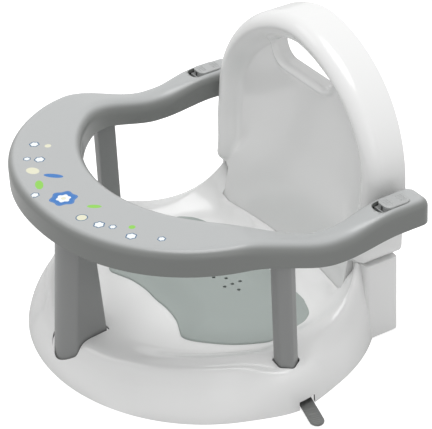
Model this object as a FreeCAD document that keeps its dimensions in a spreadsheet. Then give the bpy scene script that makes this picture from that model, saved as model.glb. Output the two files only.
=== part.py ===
import FreeCAD, Part
import math
import os
import Sketcher

# Baby bath seat: a white domed base, a white backrest, a grey guard ring on three posts,
# a soft seat pad, four suction cups and a sliding latch in each arm of the ring.
# Millimetres. The floor is at zero height, the front of the seat faces minus Y.

doc = FreeCAD.newDocument("BathSeat")
sheet = doc.addObject("Spreadsheet::Sheet", "Sizes")
lastRow = 0


def size(alias, number, note):
    # one driving size per row of the sheet
    global lastRow
    lastRow += 1
    sheet.set("A%d" % lastRow, note)
    sheet.set("B%d" % lastRow, str(number))
    sheet.setAlias("B%d" % lastRow, alias)


# Base
size("baseHalfWidth", 156.5, "half width of the base on the floor")
size("baseFrontReach", 138, "from the centre of the egg outline to its front")
size("baseRearReach", 152, "from the centre of the egg outline to its rear")
size("baseCentreY", -2, "centre of the egg outline")
size("baseWall", 2.6, "wall of the base moulding")
size("rimInset", 30, "from the floor outline to the crest of the rim")
size("rearRimInset", 14, "the same beside the backrest")
size("rimHeight", 49, "crest of the rim")
size("legDip", 8, "how far the crest dips where each leg passes")
size("legDipAngle", -50, "place of that dip round the outline, in degrees from the side")
size("legDipSpread", 15, "spread of that dip, in degrees")
size("flankHeight", 80, "top of the flanks beside the backrest")
size("flankStartAngle", 12, "where the flanks start to rise, in degrees from the side")
size("flankEndAngle", 46, "where the flanks are at their full height")
size("skirtFullness", 1.45, "how full the skirt bulges, as the power of its curve")
size("bossFullness", 1.5, "how much fuller it is at the side sockets")
size("bossSpread", 11, "spread of that bulge, in degrees")
size("seatInset", 52, "from the floor outline to the flat of the seat")
size("rearSeatInset", 80, "the same at the rear")
size("flankSteepness", 0.4, "how much steeper the bowl is beside the backrest")
size("flankSteepAngle", 45, "where the bowl is steepest, in degrees from the side")
size("seatHeight", 30, "flat of the seat")
size("blockHalfWidth", 113, "half width of the block behind the seat")
size("blockFront", 98, "front of that block")
size("blockBack", 128, "back of that block")
size("blockHeight", 72, "top of that block, under the wings")
# Fits
size("fitGap", 0.3, "gap between pieces that plug together")
size("pinGap", 0.25, "gap round the latch pin in its hole")
# Backrest
size("plugHalfWidth", 93, "half width of the lower panel that plugs into the base")
size("plugBottom", 40.3, "underside of the lower panel")
size("plugBack", 124.8, "back of the lower panel")
size("plugSideY", 86, "front of the lower panel at its sides")
size("plugCentreY", 94, "front of the lower panel in the middle")
size("plugTop", 134, "line across the panel where the lower panel ends")
size("backrestWall", 3, "wall of the backrest moulding")
size("wingHalfWidth", 113.6, "half width at the wings")
size("wingBottom", 72.3, "underside of the wings")
size("archHalfWidth", 118.4, "half width of the arch")
size("archBase", 148.1, "height where the arch starts")
size("archRise", 101.6, "rise of the arch")
size("archPower", 1.72, "power of the arch curve, across")
size("archTopPower", 1.9, "power of the arch curve, upwards")
size("frontLowY", 89.4, "front of the border at the wings")
size("frontSweep", 19.7, "how far the front leans back above them")
size("frontSweepHeight", 116, "height over which most of that lean happens")
size("backLowY", 133, "back of the backrest, below")
size("backLean", 8, "how far the back leans above")
size("borderWidth", 26, "width of the puffy border")
size("borderRound", 12.5, "rounding of the border's outer edge")
size("panelDepth", 12.5, "depth of the panel behind the border")
size("panelRound", 7.5, "rounding of the border's inner edge")
size("handleHalfWidth", 43.5, "half width of the handle hole")
size("handleBottom", 192.5, "lower edge of the handle hole")
size("handleTop", 225, "top of the handle hole")
# Guard ring
size("ringHalfWidth", 155.5, "half width of the ring outside")
size("ringFront", 140.9, "front of the ring outside")
size("ringPower", 2.13, "power of the outer curve")
size("holeHalfWidth", 128.3, "half width of the ring inside")
size("holeFront", 112.3, "from the centre of the inner curve to its front")
size("holeCentreY", 34, "centre of the inner curve")
size("armTaper", 3.3, "how far the arms widen inwards at their ends")
size("armEnd", 132.5, "rear end of the arms")
size("armCorner", 9.5, "corner radius of the arm ends, from above")
size("trayHeight", 162.3, "top of the tray")
size("neckHeight", 141.3, "top of the arms at the neck")
size("armHeight", 147, "top of the arms at the latches")
size("trayBackY", -38, "where the tray starts to drop")
size("neckFrontY", 45, "where the drop ends")
size("neckBackY", 65, "where the arms start to rise")
size("armLevelY", 87, "where the arms are level again")
size("bandHeight", 21.5, "height of the ring's side")
size("ringRound", 7.5, "rounding of the ring's top edges")
size("ringWall", 2.6, "wall of the ring moulding")
# Posts
size("sidePostX", 141, "middle of each side post")
size("sidePostY", -3, "place of the side posts along the seat")
size("sidePostWidth", 16, "width of a side post, to its outer ridge")
size("sidePostRidge", 6.2, "how far the ridge stands out")
size("sidePostLength", 18, "length of a side post, front to back")
size("sidePostBottom", 12, "foot of the side posts")
size("sidePostTop", 143, "top of the side posts, inside the ring")
size("frontPostTopFront", -126.5, "front of the front post at the tray")
size("frontPostBottomFront", -135.8, "front of the front post at its foot")
size("frontPostTopBack", -89, "back of the front post at the tray")
size("frontPostBottomBack", -87.5, "back of the front post at its foot")
size("frontPostHalfWidth", 19, "half width of the front post at its ridges")
size("frontPostBackHalf", 14, "half width of the front post at its back")
size("frontPostCrown", 8, "how far its front bulges ahead of the ridges")
size("frontPostBottom", 10, "foot of the front post")
size("frontPostTop", 151, "top of the front post, inside the tray")
size("socketWall", 2.4, "wall round each socket")
# Seat pad
size("padHalfWidth", 107.6, "half width of the pad at its lobes")
size("padFrontCorner", 60, "half width at the front corners of the lobes")
size("padFront", -48.4, "front of the lobes")
size("padMiddleFront", -38.5, "front of the pad between the lobes")
size("padRear", 64, "rear of the pad")
size("padEdge", 4, "thickness at the lobes")
size("padCrown", 6.5, "how much higher the middle is")
size("drainHole", 3, "bore of the drain holes")
size("drainStepX", 10, "spacing of the drain holes across the seat")
size("drainStepY", 7.6, "spacing of the drain holes along the seat")
size("drainSideX", 27, "place of the side clusters across the seat")
size("drainSideY", 21, "place of the side clusters along the seat")
size("drainMiddleY", 13, "place of the middle cluster")
size("drainWell", 22, "bore of the drain wells in the seat")
# Latch
size("latchX", 141, "middle of the latch button")
size("buttonY", 105, "middle of the latch button, closed")
size("buttonWidth", 16, "width of the button")
size("buttonLength", 23, "length of the button")
size("buttonProud", 1, "how far the button stands out of the arm")
size("gripLength", 9, "length of the grip ribs on the button")
size("gripWidth", 1, "width of the grip ribs")
size("gripProud", 0.6, "height of the grip ribs")
size("gripStart", 4.5, "from the middle of the button to the first rib")
size("gripStep", 2.2, "spacing of the grip ribs")
size("latchTravel", 6, "how far the button slides")
size("slideGap", 0.3, "running gap of the slider")
size("sliderWidth", 18, "width of the slider plate")
size("plateGap", 2, "gap between the slider plate and the arm's top wall")
size("sliderFront", 92.5, "front of the slider plate, closed")
size("sliderRear", 118.5, "rear of the slider plate, closed")
size("sliderPlate", 2, "thickness of the slider plate")
size("pinX", 136, "place of the latch pin across the arm")
size("pinHeight", 134, "height of the latch pin")
size("pinBore", 4.5, "diameter of the latch pin")
size("pinTip", 124, "tip of the latch pin, closed")
size("carrierFront", 103, "front of the block that carries the pin")
size("carrierRear", 113, "rear of that block")
size("carrierWidth", 11, "width of that block")
size("carrierLow", 129.4, "underside of that block")
size("carrierHeight", 13, "height of that block")
size("lugFront", 119, "front of the lug on the backrest")
size("lugLength", 8, "length of the lug")
size("lugHalfHeight", 5, "half height of the lug")
size("lugOuter", 141.5, "outer end of the lug")
size("springSeat", 86, "face that the latch spring pushes against")
size("springRib", 2, "thickness of the rib behind the spring")
size("springCoil", 7, "diameter of the latch spring")
size("springWire", 0.9, "wire of the latch spring")
size("springTurns", 6, "turns of the latch spring")
size("coverFront", 79, "front of the latch cover")
size("coverRear", 117.2, "rear of the latch cover")
size("coverX", 140.9, "middle of the latch cover across the arm")
size("coverWidth", 21.8, "width of the latch cover")
size("coverThickness", 3, "thickness of the latch cover")
size("coverLift", 0.5, "how far the cover sits inside the arm")
size("screwX", 147, "place of the cover screws across the arm")
size("frontScrewY", 91, "place of the front screw")
size("rearScrewY", 110, "place of the rear screw")
size("screwBore", 3, "diameter of the cover screws")
size("screwGap", 0.1, "gap round the screws")
size("screwHead", 5.6, "diameter of the screw heads")
size("screwHeadHeight", 1.7, "height of the screw heads")
size("screwLength", 11, "length of the screws under the head")
size("screwBoss", 8, "length of the bosses that take the screws")
# Suction cups
size("sideCupX", 106, "place of the side cups across the seat")
size("sideCupY", 20.5, "place of the side cups along the seat")
size("rearCupX", 60, "place of the rear cups across the seat")
size("rearCupY", 94, "place of the rear cups along the seat")
size("cupBore", 44, "diameter of a suction cup at its lip")
size("cupHeight", 14, "height of its bell")
size("cupTop", 8, "radius of its bell at the neck")
size("cupLip", 1.6, "width of its lip")
size("cupWall", 2.2, "wall of its bell")
size("cupNeck", 10, "diameter of its neck")
size("cupNeckTop", 25, "top of its neck in the boss")
size("cupBoss", 16, "diameter of the boss in the base")
size("tabWidth", 12, "width of a pull tab")
size("tabThickness", 2, "thickness of a pull tab")
size("sideTabTip", 187.7, "tip of the side tabs from the middle of the seat")
size("sideTabAngle", -14.3, "direction of the side tabs, in degrees")
size("tabLift", 0.5, "underside of the tabs above the floor")
size("rearTabTip", 140.9, "tip of the rear tabs")
size("tabSlotHeight", 8, "height of the slots for the tabs")
doc.recompute()


def val(alias):
    return float(sheet.get(alias))


def vec(x, y, z):
    return FreeCAD.Vector(x, y, z)


def ease(share):
    # smooth step from 0 to 1
    share = min(1.0, max(0.0, share))
    return share * share * (3 - 2 * share)


def curveEdge(points):
    curve = Part.BSplineCurve()
    curve.interpolate(points)
    return curve.toShape()


def lineEdge(start, end):
    return Part.LineSegment(start, end).toShape()


def arcEdge(start, middle, end):
    return Part.Arc(start, middle, end).toShape()


def prism(edges, direction):
    return Part.Face(Part.Wire(edges)).extrude(direction)


def mirrored(shape):
    return shape.mirror(vec(0, 0, 0), vec(1, 0, 0))


def bothSides(shape):
    return [shape, mirrored(shape)]


def block(x0, x1, y0, y1, z0, z1):
    return Part.makeBox(x1 - x0, y1 - y0, z1 - z0, vec(x0, y0, z0))


def place(item, name, shape):
    # a freeform piece: its shape comes first, then its Label and Placement
    item.Shape = shape
    item.Label = name
    item.Placement = FreeCAD.Placement(vec(0, 0, 0), FreeCAD.Rotation())
    return item


def qualified(formula):
    # a formula over the sheet's words, each with the sheet's name before it
    words = []
    for word in formula.replace("(", "( ").replace(")", " )").split():
        named = word[0].isalpha() and word[-1] != "("
        words.append("Sizes." + word if named else word)
    return " ".join(words)


def worth(formula):
    return float(sheet.evalExpression(qualified(formula)))


def bind(item, formulas):
    for target, formula in formulas.items():
        item.setExpression(target, qualified(formula))
    return item


def primitive(kind, name, formulas, spot=("0", "0", "0")):
    item = doc.addObject("Part::" + kind, name)
    bind(item, formulas)
    return move(item, spot)


def move(item, spot):
    axes = ("x", "y", "z")
    return bind(item, {"Placement.Base." + axis: formula for axis, formula in zip(axes, spot)})


def fusion(name, pieces):
    item = doc.addObject("Part::MultiFuse", name)
    item.Shapes = pieces
    return item


def difference(name, base, tool):
    item = doc.addObject("Part::Cut", name)
    item.Base = base
    item.Tool = tool
    return item


# Base shell

def rimCrest(angle):
    # height of the rim crest; angle in degrees, minus 90 at the front and 90 at the rear
    dip = val("legDip") * math.exp(-((angle - val("legDipAngle")) / val("legDipSpread")) ** 2)
    share = (angle - val("flankStartAngle")) / (val("flankEndAngle") - val("flankStartAngle"))
    share = min(1.0, max(0.0, share))
    return val("rimHeight") - dip + (val("flankHeight") - val("rimHeight")) * share ** 3


def sidePostAngle():
    return math.degrees(math.asin((val("sidePostY") - val("baseCentreY")) / val("baseFrontReach")))


def baseSection(angle, skin):
    # inset from the floor outline and height, over the rim and down to the flat of the seat
    boss = math.exp(-((angle - sidePostAngle()) / val("bossSpread")) ** 2)
    power = val("skirtFullness") + val("bossFullness") * boss
    rear = ease((angle - 15) / 30)
    inset = val("rimInset") + (val("rearRimInset") - val("rimInset")) * rear
    flat = val("seatInset") + (val("rearSeatInset") - val("seatInset")) * ease((angle - 40) / 28)
    bend = 1 - val("flankSteepness") * math.exp(-((angle - val("flankSteepAngle")) / 22) ** 2)
    crest = rimCrest(angle) - 1.4 * skin
    outerSteps, innerSteps = 9, 8
    points = []
    for step in range(outerSteps + 1):
        share = math.radians(90) * step / outerSteps
        across = skin + (inset - skin) * (1 - math.cos(share) ** (2 / power))
        points.append((across, crest * math.sin(share) ** (2 / power)))
    for step in range(1, innerSteps + 1):
        share = step / innerSteps
        across = inset + (flat - inset) * share - 0.9 * skin * math.sin(math.pi * share)
        drop = (1 - math.cos(math.pi * share ** bend)) / 2
        points.append((across, crest - (crest - val("seatHeight") + skin) * drop))
    return points


def domeSolid(skin):
    # the dome with its bowl, closed below at the floor, with every wall moved in by skin
    steps = 64
    grid = []
    for step in range(steps + 1):
        turn = math.radians(90 + 360 * step / steps)
        angle = math.degrees(math.asin(max(-1, min(1, math.sin(turn)))))
        reach = val("baseRearReach") if math.sin(turn) > 0 else val("baseFrontReach")
        row = []
        for inset, height in baseSection(angle, skin):
            x = (val("baseHalfWidth") - inset) * math.cos(turn)
            y = val("baseCentreY") + (reach - inset) * math.sin(turn)
            row.append(vec(x, y, height))
        grid.append(row)
    grid[-1] = list(grid[0])
    surface = Part.BSplineSurface()
    surface.interpolate(grid)
    u0, u1, v0, v1 = surface.bounds()
    middle = surface.parameter(grid[steps // 2][5])[0]
    halves = [surface.toShape(u0, middle, v0, v1), surface.toShape(middle, u1, v0, v1)]
    floorEdges = [surface.vIso(v0).toShape(u0, middle), surface.vIso(v0).toShape(middle, u1)]
    seatEdges = [surface.vIso(v1).toShape(u0, middle), surface.vIso(v1).toShape(middle, u1)]
    faces = halves + [Part.Face(Part.Wire(floorEdges)), Part.Face(Part.Wire(seatEdges))]
    shell = Part.Shell(faces)
    shell.sewShape()
    behind = block(-200, 200, val("blockBack") - skin, 200, -20, 200)
    return solidOf(shell).cut(behind)


def solidOf(shell):
    if shell.ShapeType != "Shell":
        shell = shell.Shells[0]
    result = Part.Solid(shell)
    if result.Volume < 0:
        result.reverse()
    return result


def basePocket(skin):
    # the space behind the seat that takes the backrest, smaller walls grow it by skin
    gap = val("fitGap") + skin
    half = val("plugHalfWidth") + gap
    room = block(-half, half, val("blockFront") - 20, val("plugBack") + gap, val("plugBottom") - gap, 150)
    sag = val("plugCentreY") - val("plugSideY")
    radius = (val("plugHalfWidth") ** 2 + sag ** 2) / (2 * sag)
    drum = Part.makeCylinder(radius - gap, 200, vec(0, val("plugCentreY") - radius, 0))
    return room.cut(drum)


def baseBlock(skin):
    half = val("blockHalfWidth") - skin
    low = -10 if skin else 0
    return block(-half, half, val("blockFront") + skin, val("blockBack") - skin, low, val("blockHeight") - skin)


def wingRoom(skin):
    # the space of the wings that stand over the flanks
    low = val("wingBottom") - skin
    front = val("frontLowY") - skin
    corners = [
        vec(-200, front, 300),
        vec(-200, front, low + 11),
        vec(-200, front + 9, low + 3),
        vec(-200, front + 18, low),
        vec(-200, 200, low),
        vec(-200, 200, 300),
    ]
    edges = [lineEdge(corners[k], corners[(k + 1) % len(corners)]) for k in range(len(corners))]
    return prism(edges, vec(400, 0, 0))


def sidePostOutline(skin, height):
    inner = val("sidePostX") - val("sidePostWidth") / 2
    shoulder = inner + val("sidePostWidth") - val("sidePostRidge")
    half = val("sidePostLength") / 2
    y = val("sidePostY")
    corners = [
        vec(inner, y - half, height),
        vec(shoulder, y - half, height),
        vec(inner + val("sidePostWidth"), y, height),
        vec(shoulder, y + half, height),
        vec(inner, y + half, height),
    ]
    wire = Part.makePolygon(corners + corners[:1])
    return wire.makeOffset2D(skin, 2) if skin else wire


def sidePostPrism(skin, low, high):
    return Part.Face(sidePostOutline(skin, low)).extrude(vec(0, 0, high - low))


def frontPostWire(skin, height):
    # the post leans a little: its outline is worked out at any height
    low, high = val("frontPostBottom"), val("frontPostTop")
    share = (height - low) / (high - low)
    front = val("frontPostBottomFront") + share * (val("frontPostTopFront") - val("frontPostBottomFront")) - skin
    back = val("frontPostBottomBack") + share * (val("frontPostTopBack") - val("frontPostBottomBack")) + skin
    half = val("frontPostHalfWidth") + skin
    backHalf = val("frontPostBackHalf") + skin
    ridge = front + val("frontPostCrown")
    frontArc = arcEdge(vec(-half, ridge, height), vec(0, front, height), vec(half, ridge, height))
    right = lineEdge(vec(half, ridge, height), vec(backHalf, back, height))
    rear = lineEdge(vec(backHalf, back, height), vec(-backHalf, back, height))
    left = lineEdge(vec(-backHalf, back, height), vec(-half, ridge, height))
    return Part.Wire([frontArc, right, rear, left])


def frontPostSolid(skin, low, high):
    return Part.makeLoft([frontPostWire(skin, low), frontPostWire(skin, high)], True, True)


def cupPlaces():
    # name, place, direction of the pull tab in degrees
    tilt = val("sideTabAngle")
    return [
        ("suction_cup_side_right", val("sideCupX"), val("sideCupY"), tilt),
        ("suction_cup_side_left", -val("sideCupX"), val("sideCupY"), 180 - tilt),
        ("suction_cup_rear_right", val("rearCupX"), val("rearCupY"), 90),
        ("suction_cup_rear_left", -val("rearCupX"), val("rearCupY"), 90),
    ]


def drainCentres():
    side, sideY = val("drainSideX"), val("drainSideY")
    return [(-side, sideY), (0, val("drainMiddleY")), (side, sideY)]


def baseShell():
    wall, gap = val("baseWall"), val("fitGap")
    outer = domeSolid(0).fuse(baseBlock(0)).cut([basePocket(0), wingRoom(gap)])
    inner = domeSolid(wall).fuse(baseBlock(wall)).cut([basePocket(wall), wingRoom(gap + wall)])
    shell = outer.cut(inner)
    floor = val("socketWall")
    sides = sidePostPrism(gap + floor, val("sidePostBottom") - floor, 90)
    front = frontPostSolid(gap + floor, val("frontPostBottom") - floor, 90)
    added = bothSides(sides) + [front]
    removed = bothSides(sidePostPrism(gap, val("sidePostBottom"), 90))
    removed.append(frontPostSolid(gap, val("frontPostBottom"), 90))
    for name, x, y, tilt in cupPlaces():
        bossLow = val("cupHeight") + 1
        added.append(Part.makeCylinder(val("cupBoss") / 2, 60, vec(x, y, bossLow)))
        depth = val("cupNeckTop") - bossLow
        removed.append(Part.makeCylinder(val("cupNeck") / 2 + gap / 2, depth, vec(x, y, bossLow)))
        slot = block(0, 200, -val("tabWidth") / 2 - 1, val("tabWidth") / 2 + 1, -1, val("tabSlotHeight"))
        slot.translate(vec(x, y, 0))
        slot.rotate(vec(x, y, 0), vec(0, 0, 1), tilt)
        removed.append(slot)
    for x, y in drainCentres():
        removed.append(Part.makeCylinder(val("drainWell") / 2, 20, vec(x, y, val("seatHeight") - 10)))
    fitted = [piece.common(outer) for piece in added]
    return shell.fuse(fitted).cut(removed)


# Backrest

def borderFront(height):
    low = val("wingBottom") + 11
    rise = max(-20.0, height - low)
    return val("frontLowY") + val("frontSweep") * (1 - math.exp(-rise / val("frontSweepHeight")))


def borderBack(height):
    return val("backLowY") + val("backLean") * ease((height - val("archBase")) / val("archRise"))


def archPoints(skin):
    # the outline from the right wing over the top to the left wing
    points = []
    low = val("wingBottom") - 5
    for step in range(6):
        height = low + (val("archBase") - low) * step / 6
        spread = val("archHalfWidth") - val("wingHalfWidth")
        half = val("wingHalfWidth") + spread * ease((height - val("wingBottom") - 12) / 38)
        points.append((half, height))
    for step in range(13):
        turn = math.radians(180 * step / 12)
        across = abs(math.cos(turn)) ** (2 / val("archPower")) * math.copysign(1, math.cos(turn))
        up = math.sin(turn) ** (2 / val("archTopPower"))
        points.append((val("archHalfWidth") * across, val("archBase") + val("archRise") * up))
    points += [(-across, up) for across, up in reversed(points[:6])]
    moved = []
    for number, (across, up) in enumerate(points):
        before = points[max(0, number - 1)]
        after = points[min(len(points) - 1, number + 1)]
        along = (after[0] - before[0], after[1] - before[1])
        length = math.hypot(*along)
        if number in (0, len(points) - 1):
            along, length = (0, 1 if number == 0 else -1), 1
        moved.append((across - skin * along[1] / length, up + skin * along[0] / length))
    return moved


def archPrism(skin, low, high):
    # the arch outline, moved in by skin, between two places along Y
    points = [vec(across, low, up) for across, up in archPoints(skin)]
    edges = [curveEdge(points), lineEdge(points[-1], points[0])]
    return prism(edges, vec(0, high - low, 0))


def sideProfile(skin, depth, low, high):
    # the side view between two heights, its front moved back by skin and depth
    steps = 9
    heights = [low + (high - low) * step / steps for step in range(steps + 1)]
    front = [vec(-150, borderFront(height) + skin + depth, height) for height in heights]
    behind = 10 if skin else 0
    back = [vec(-150, borderBack(height) + behind, height) for height in heights]
    edges = [
        curveEdge(front),
        lineEdge(front[-1], back[-1]),
        curveEdge(list(reversed(back))),
        lineEdge(back[0], front[0]),
    ]
    return prism(edges, vec(300, 0, 0))


def frontRimEdges(solid, skin, depth, tolerance):
    # the edges where the outline meets the front face
    found = []
    for edge in solid.Edges:
        points = edge.discretize(7)
        if all(abs(point.y - borderFront(point.z) - skin - depth) < tolerance for point in points):
            if not all(abs(point.z - points[0].z) < 0.01 for point in points):
                found.append(edge)
    return found


def borderSolid(skin):
    low, high = val("wingBottom") + skin, 290
    slab = archPrism(skin, 60, 160).common(sideProfile(skin, 0, low, high))
    slab = slab.makeFillet(val("borderRound") - skin, frontRimEdges(slab, skin, 0, 0.3))
    recess = archPrism(val("borderWidth") - val("panelRound") - skin, 60, 160)
    front = sideProfile(skin, val("panelDepth"), low - 10, high)
    recess = recess.cut(front)
    return slab.cut(recess).common(wingRoom(-skin))


def lowerPanel(skin):
    # the panel below the arch, down into the base
    half = val("plugHalfWidth") - skin
    back = val("plugBack") + (0 if skin == 0 else 40)
    bottom = val("plugBottom") + skin
    top = val("plugTop") - skin
    side, middle = val("plugSideY") + skin, val("plugCentreY") + skin
    topY = borderFront(top) + val("panelDepth") + skin - 0.5
    wires = []
    for height, sideY, middleY in ((bottom, side, middle), (top, topY, topY + 0.5)):
        arc = arcEdge(vec(-half, sideY, height), vec(0, middleY, height), vec(half, sideY, height))
        right = lineEdge(vec(half, sideY, height), vec(half, back, height))
        rear = lineEdge(vec(half, back, height), vec(-half, back, height))
        left = lineEdge(vec(-half, back, height), vec(-half, sideY, height))
        wires.append(Part.Wire([arc, right, rear, left]))
    return Part.makeLoft(wires, True, True)


def handlePrism(skin):
    # the handle hole: a flat bottom with round corners under a low arch
    half, low, top = val("handleHalfWidth") + skin, val("handleBottom") - skin, val("handleTop") + skin
    corner = 0.55 * (top - low)
    shoulder = half - corner
    edges = [
        lineEdge(vec(-shoulder, 60, low), vec(shoulder, 60, low)),
        arcEdge(vec(shoulder, 60, low), vec(half - 0.293 * corner, 60, low + 0.293 * corner),
                vec(half, 60, low + corner)),
        arcEdge(vec(half, 60, low + corner), vec(0, 60, top), vec(-half, 60, low + corner)),
        arcEdge(vec(-half, 60, low + corner), vec(-half + 0.293 * corner, 60, low + 0.293 * corner),
                vec(-shoulder, 60, low)),
    ]
    return prism(edges, vec(0, 100, 0))


def latchLug():
    low, high = val("pinHeight") - val("lugHalfHeight"), val("pinHeight") + val("lugHalfHeight")
    front = val("lugFront")
    lug = block(val("wingHalfWidth") + 2, val("lugOuter"), front, front + val("lugLength"), low, high)
    bore = val("pinBore") / 2 + val("pinGap")
    hole = Part.makeCylinder(bore, val("lugLength"), vec(val("pinX"), front, val("pinHeight")), vec(0, 1, 0))
    return lug.cut(hole)


def backrestShell():
    wall = val("backrestWall")
    outer = borderSolid(0).fuse(lowerPanel(0))
    inner = borderSolid(wall).fuse(lowerPanel(wall)).cut(handlePrism(wall))
    shell = outer.cut([inner, handlePrism(0)])
    return shell.fuse([lug.cut(inner) for lug in bothSides(latchLug())])


# Guard ring

def bandTop(y):
    drop = ease((y - val("trayBackY")) / (val("neckFrontY") - val("trayBackY")))
    climb = ease((y - val("neckBackY")) / (val("armLevelY") - val("neckBackY")))
    tray, neck, arm = val("trayHeight"), val("neckHeight"), val("armHeight")
    return tray + (neck - tray) * drop + (arm - neck) * climb


def ringCurves(skin):
    # matching points along the outer and the inner side of the C, every side moved in by skin
    beyond = val("armEnd") + 6
    outer, inner = [], []
    for step in range(6):
        share = 1 - step / 6
        outer.append((val("ringHalfWidth"), beyond * share))
        y = val("holeCentreY") + (beyond - val("holeCentreY")) * share
        taper = val("armTaper") * ease((y - val("holeCentreY")) / (beyond - val("holeCentreY")))
        inner.append((val("holeHalfWidth") - taper, y))
    for step in range(29):
        turn = math.radians(180 * step / 28)
        across = abs(math.cos(turn)) ** (2 / val("ringPower")) * math.copysign(1, math.cos(turn))
        outer.append((val("ringHalfWidth") * across, -val("ringFront") * math.sin(turn) ** (2 / val("ringPower"))))
        inner.append((val("holeHalfWidth") * math.cos(turn), val("holeCentreY") - val("holeFront") * math.sin(turn)))
    outer += [(-across, along) for across, along in reversed(outer[:6])]
    inner += [(-across, along) for across, along in reversed(inner[:6])]
    return movedAside(outer, -skin), movedAside(inner, skin)


def movedAside(points, amount):
    # points along a curve, moved to the left of its direction
    moved = []
    for number, (across, along) in enumerate(points):
        before = points[max(0, number - 1)]
        after = points[min(len(points) - 1, number + 1)]
        way = (after[0] - before[0], after[1] - before[1])
        if number == 0:
            way = (0, -1)
        if number == len(points) - 1:
            way = (0, 1)
        length = math.hypot(*way)
        moved.append((across - amount * way[1] / length, along + amount * way[0] / length))
    return moved


def bandSection(outer, inner, skin):
    # one section of the band: up the outer side, over the top and down the inner side
    radius, drop = val("ringRound") - skin, val("bandHeight") - skin + (10 if skin else 0)
    width = math.hypot(inner[0] - outer[0], inner[1] - outer[1])

    def at(across, down):
        share = across / width
        x = outer[0] + (inner[0] - outer[0]) * share
        y = outer[1] + (inner[1] - outer[1]) * share
        return vec(x, y, bandTop(y) - skin - down)

    bend = radius * (1 - math.cos(math.radians(45)))
    return Part.Wire([
        lineEdge(at(0, drop), at(0, radius)),
        arcEdge(at(0, radius), at(bend, bend), at(radius, 0)),
        lineEdge(at(radius, 0), at(width - radius, 0)),
        arcEdge(at(width - radius, 0), at(width - bend, bend), at(width, radius)),
        lineEdge(at(width, radius), at(width, drop)),
        lineEdge(at(width, drop), at(0, drop)),
    ])


def armEndPrism(skin):
    # trims the arms to their length, with round corners seen from above
    end, corner = val("armEnd") - skin, val("armCorner") - skin
    pieces = [block(-200, 200, -200, 60, 60, 220)]
    inner = val("holeHalfWidth") - val("armTaper") + skin
    outer = val("ringHalfWidth") - skin
    arm = block(inner - 10, outer + 10, 40, end, 60, 220)
    corners = []
    for x, way in ((inner, 1), (outer, -1)):
        square = block(min(x - way * 20, x + way * corner), max(x - way * 20, x + way * corner),
                       end - corner, end + 1, 60, 220)
        corners.append(square.cut(Part.makeCylinder(corner, 160, vec(x + way * corner, end - corner, 60))))
    arm = arm.cut(corners)
    return pieces[0].fuse(bothSides(arm))


def ringSolid(skin):
    # the ring's outer form; with a skin, the space inside it, open below
    outer, inner = ringCurves(skin)
    sections = [bandSection(first, second, skin) for first, second in zip(outer, inner)]
    return Part.makeLoft(sections, True, False).common(armEndPrism(skin))


def ringWindow():
    # the opening in the arm's top that the button slides in, longer at the front
    gap = val("slideGap")
    half = val("buttonWidth") / 2 + gap
    front = val("buttonY") - val("buttonLength") / 2 - val("latchTravel") - 0.7
    rear = val("buttonY") + val("buttonLength") / 2 + gap
    return pill(val("latchX"), half, front, rear, val("armHeight") - 10, val("armHeight") + 10, half * 0.62)


def pill(x, half, front, rear, low, high, corner):
    # a block with four round upright corners
    solid = block(x - half, x + half, front, rear, low, high)
    upright = [edge for edge in solid.Edges if abs(edge.Vertexes[0].Z - edge.Vertexes[-1].Z) > 0.1]
    return solid.makeFillet(corner, upright)


def guardRing():
    gap = val("fitGap")
    outer = ringSolid(0)
    inner = ringSolid(val("ringWall"))
    floor = val("socketWall")
    sides = sidePostPrism(gap + floor, 100, 200)
    front = frontPostSolid(gap + floor, 100, 200)
    armTop = val("armHeight")
    screwTop = val("armHeight") - val("bandHeight") + val("coverLift") + val("coverThickness")
    plateLow = armTop - val("ringWall") - val("plateGap") - val("sliderPlate")
    ribLow, ribHigh = screwTop + gap, plateLow - val("slideGap")
    bosses = [block(120, 154, val("springSeat") - val("springRib"), val("springSeat"), ribLow, ribHigh)]
    for y in (val("frontScrewY"), val("rearScrewY")):
        half = val("screwBoss") / 2
        bosses.append(block(val("screwX") - 4, 154, y - half, y + half, screwTop, ribHigh))
    added = bothSides(sides) + [front]
    removed = bothSides(sidePostPrism(gap, 80, val("sidePostTop")))
    removed.append(frontPostSolid(gap, 80, val("frontPostTop")))
    for boss in bosses:
        added += bothSides(boss)
    for y in (val("frontScrewY"), val("rearScrewY")):
        depth = val("screwLength") - val("coverThickness") + val("screwHeadHeight") + gap
        hole = Part.makeCylinder(val("screwBore") / 2 + val("screwGap"), depth, vec(val("screwX"), y, screwTop - 0.5))
        removed += bothSides(hole)
    lugGap = 2 * gap
    front, high = val("lugFront") - lugGap, val("pinHeight") + val("lugHalfHeight") + lugGap
    notch = block(100, val("pinX"), front, front + val("lugLength") + 2 * lugGap, 90, high)
    removed += bothSides(notch)
    removed += bothSides(ringWindow())
    shell = outer.cut(inner)
    return shell.fuse([piece.common(outer) for piece in added]).cut(removed)


# Seat pad

def padOutline(low):
    lobe, corner = val("padHalfWidth"), val("padFrontCorner")
    front, middle, rear = val("padFront"), val("padMiddleFront"), val("padRear")
    right = [
        (0, middle),
        (0.3 * corner, middle + 0.6),
        (0.62 * corner, middle - 0.19 * (middle - front)),
        (0.87 * corner, middle - 0.76 * (middle - front)),
        (corner, front),
        (corner + 8, front + 3),
        (corner + 19, front + 12.4),
        (lobe - 15, front + 27.4),
        (lobe - 5, front + 44.4),
        (lobe, 10),
        (lobe, 34),
        (lobe - 6.5, rear - 19),
        (lobe - 16, rear - 9),
        (lobe - 29.5, rear - 3.6),
        (corner + 4, rear - 1),
        (0, rear),
    ]
    left = [(-across, along) for across, along in reversed(right[:-1])]
    edges = [curveEdge([vec(across, along, low) for across, along in right])]
    edges.append(curveEdge([vec(across, along, low) for across, along in [right[-1]] + left]))
    return edges


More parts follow.
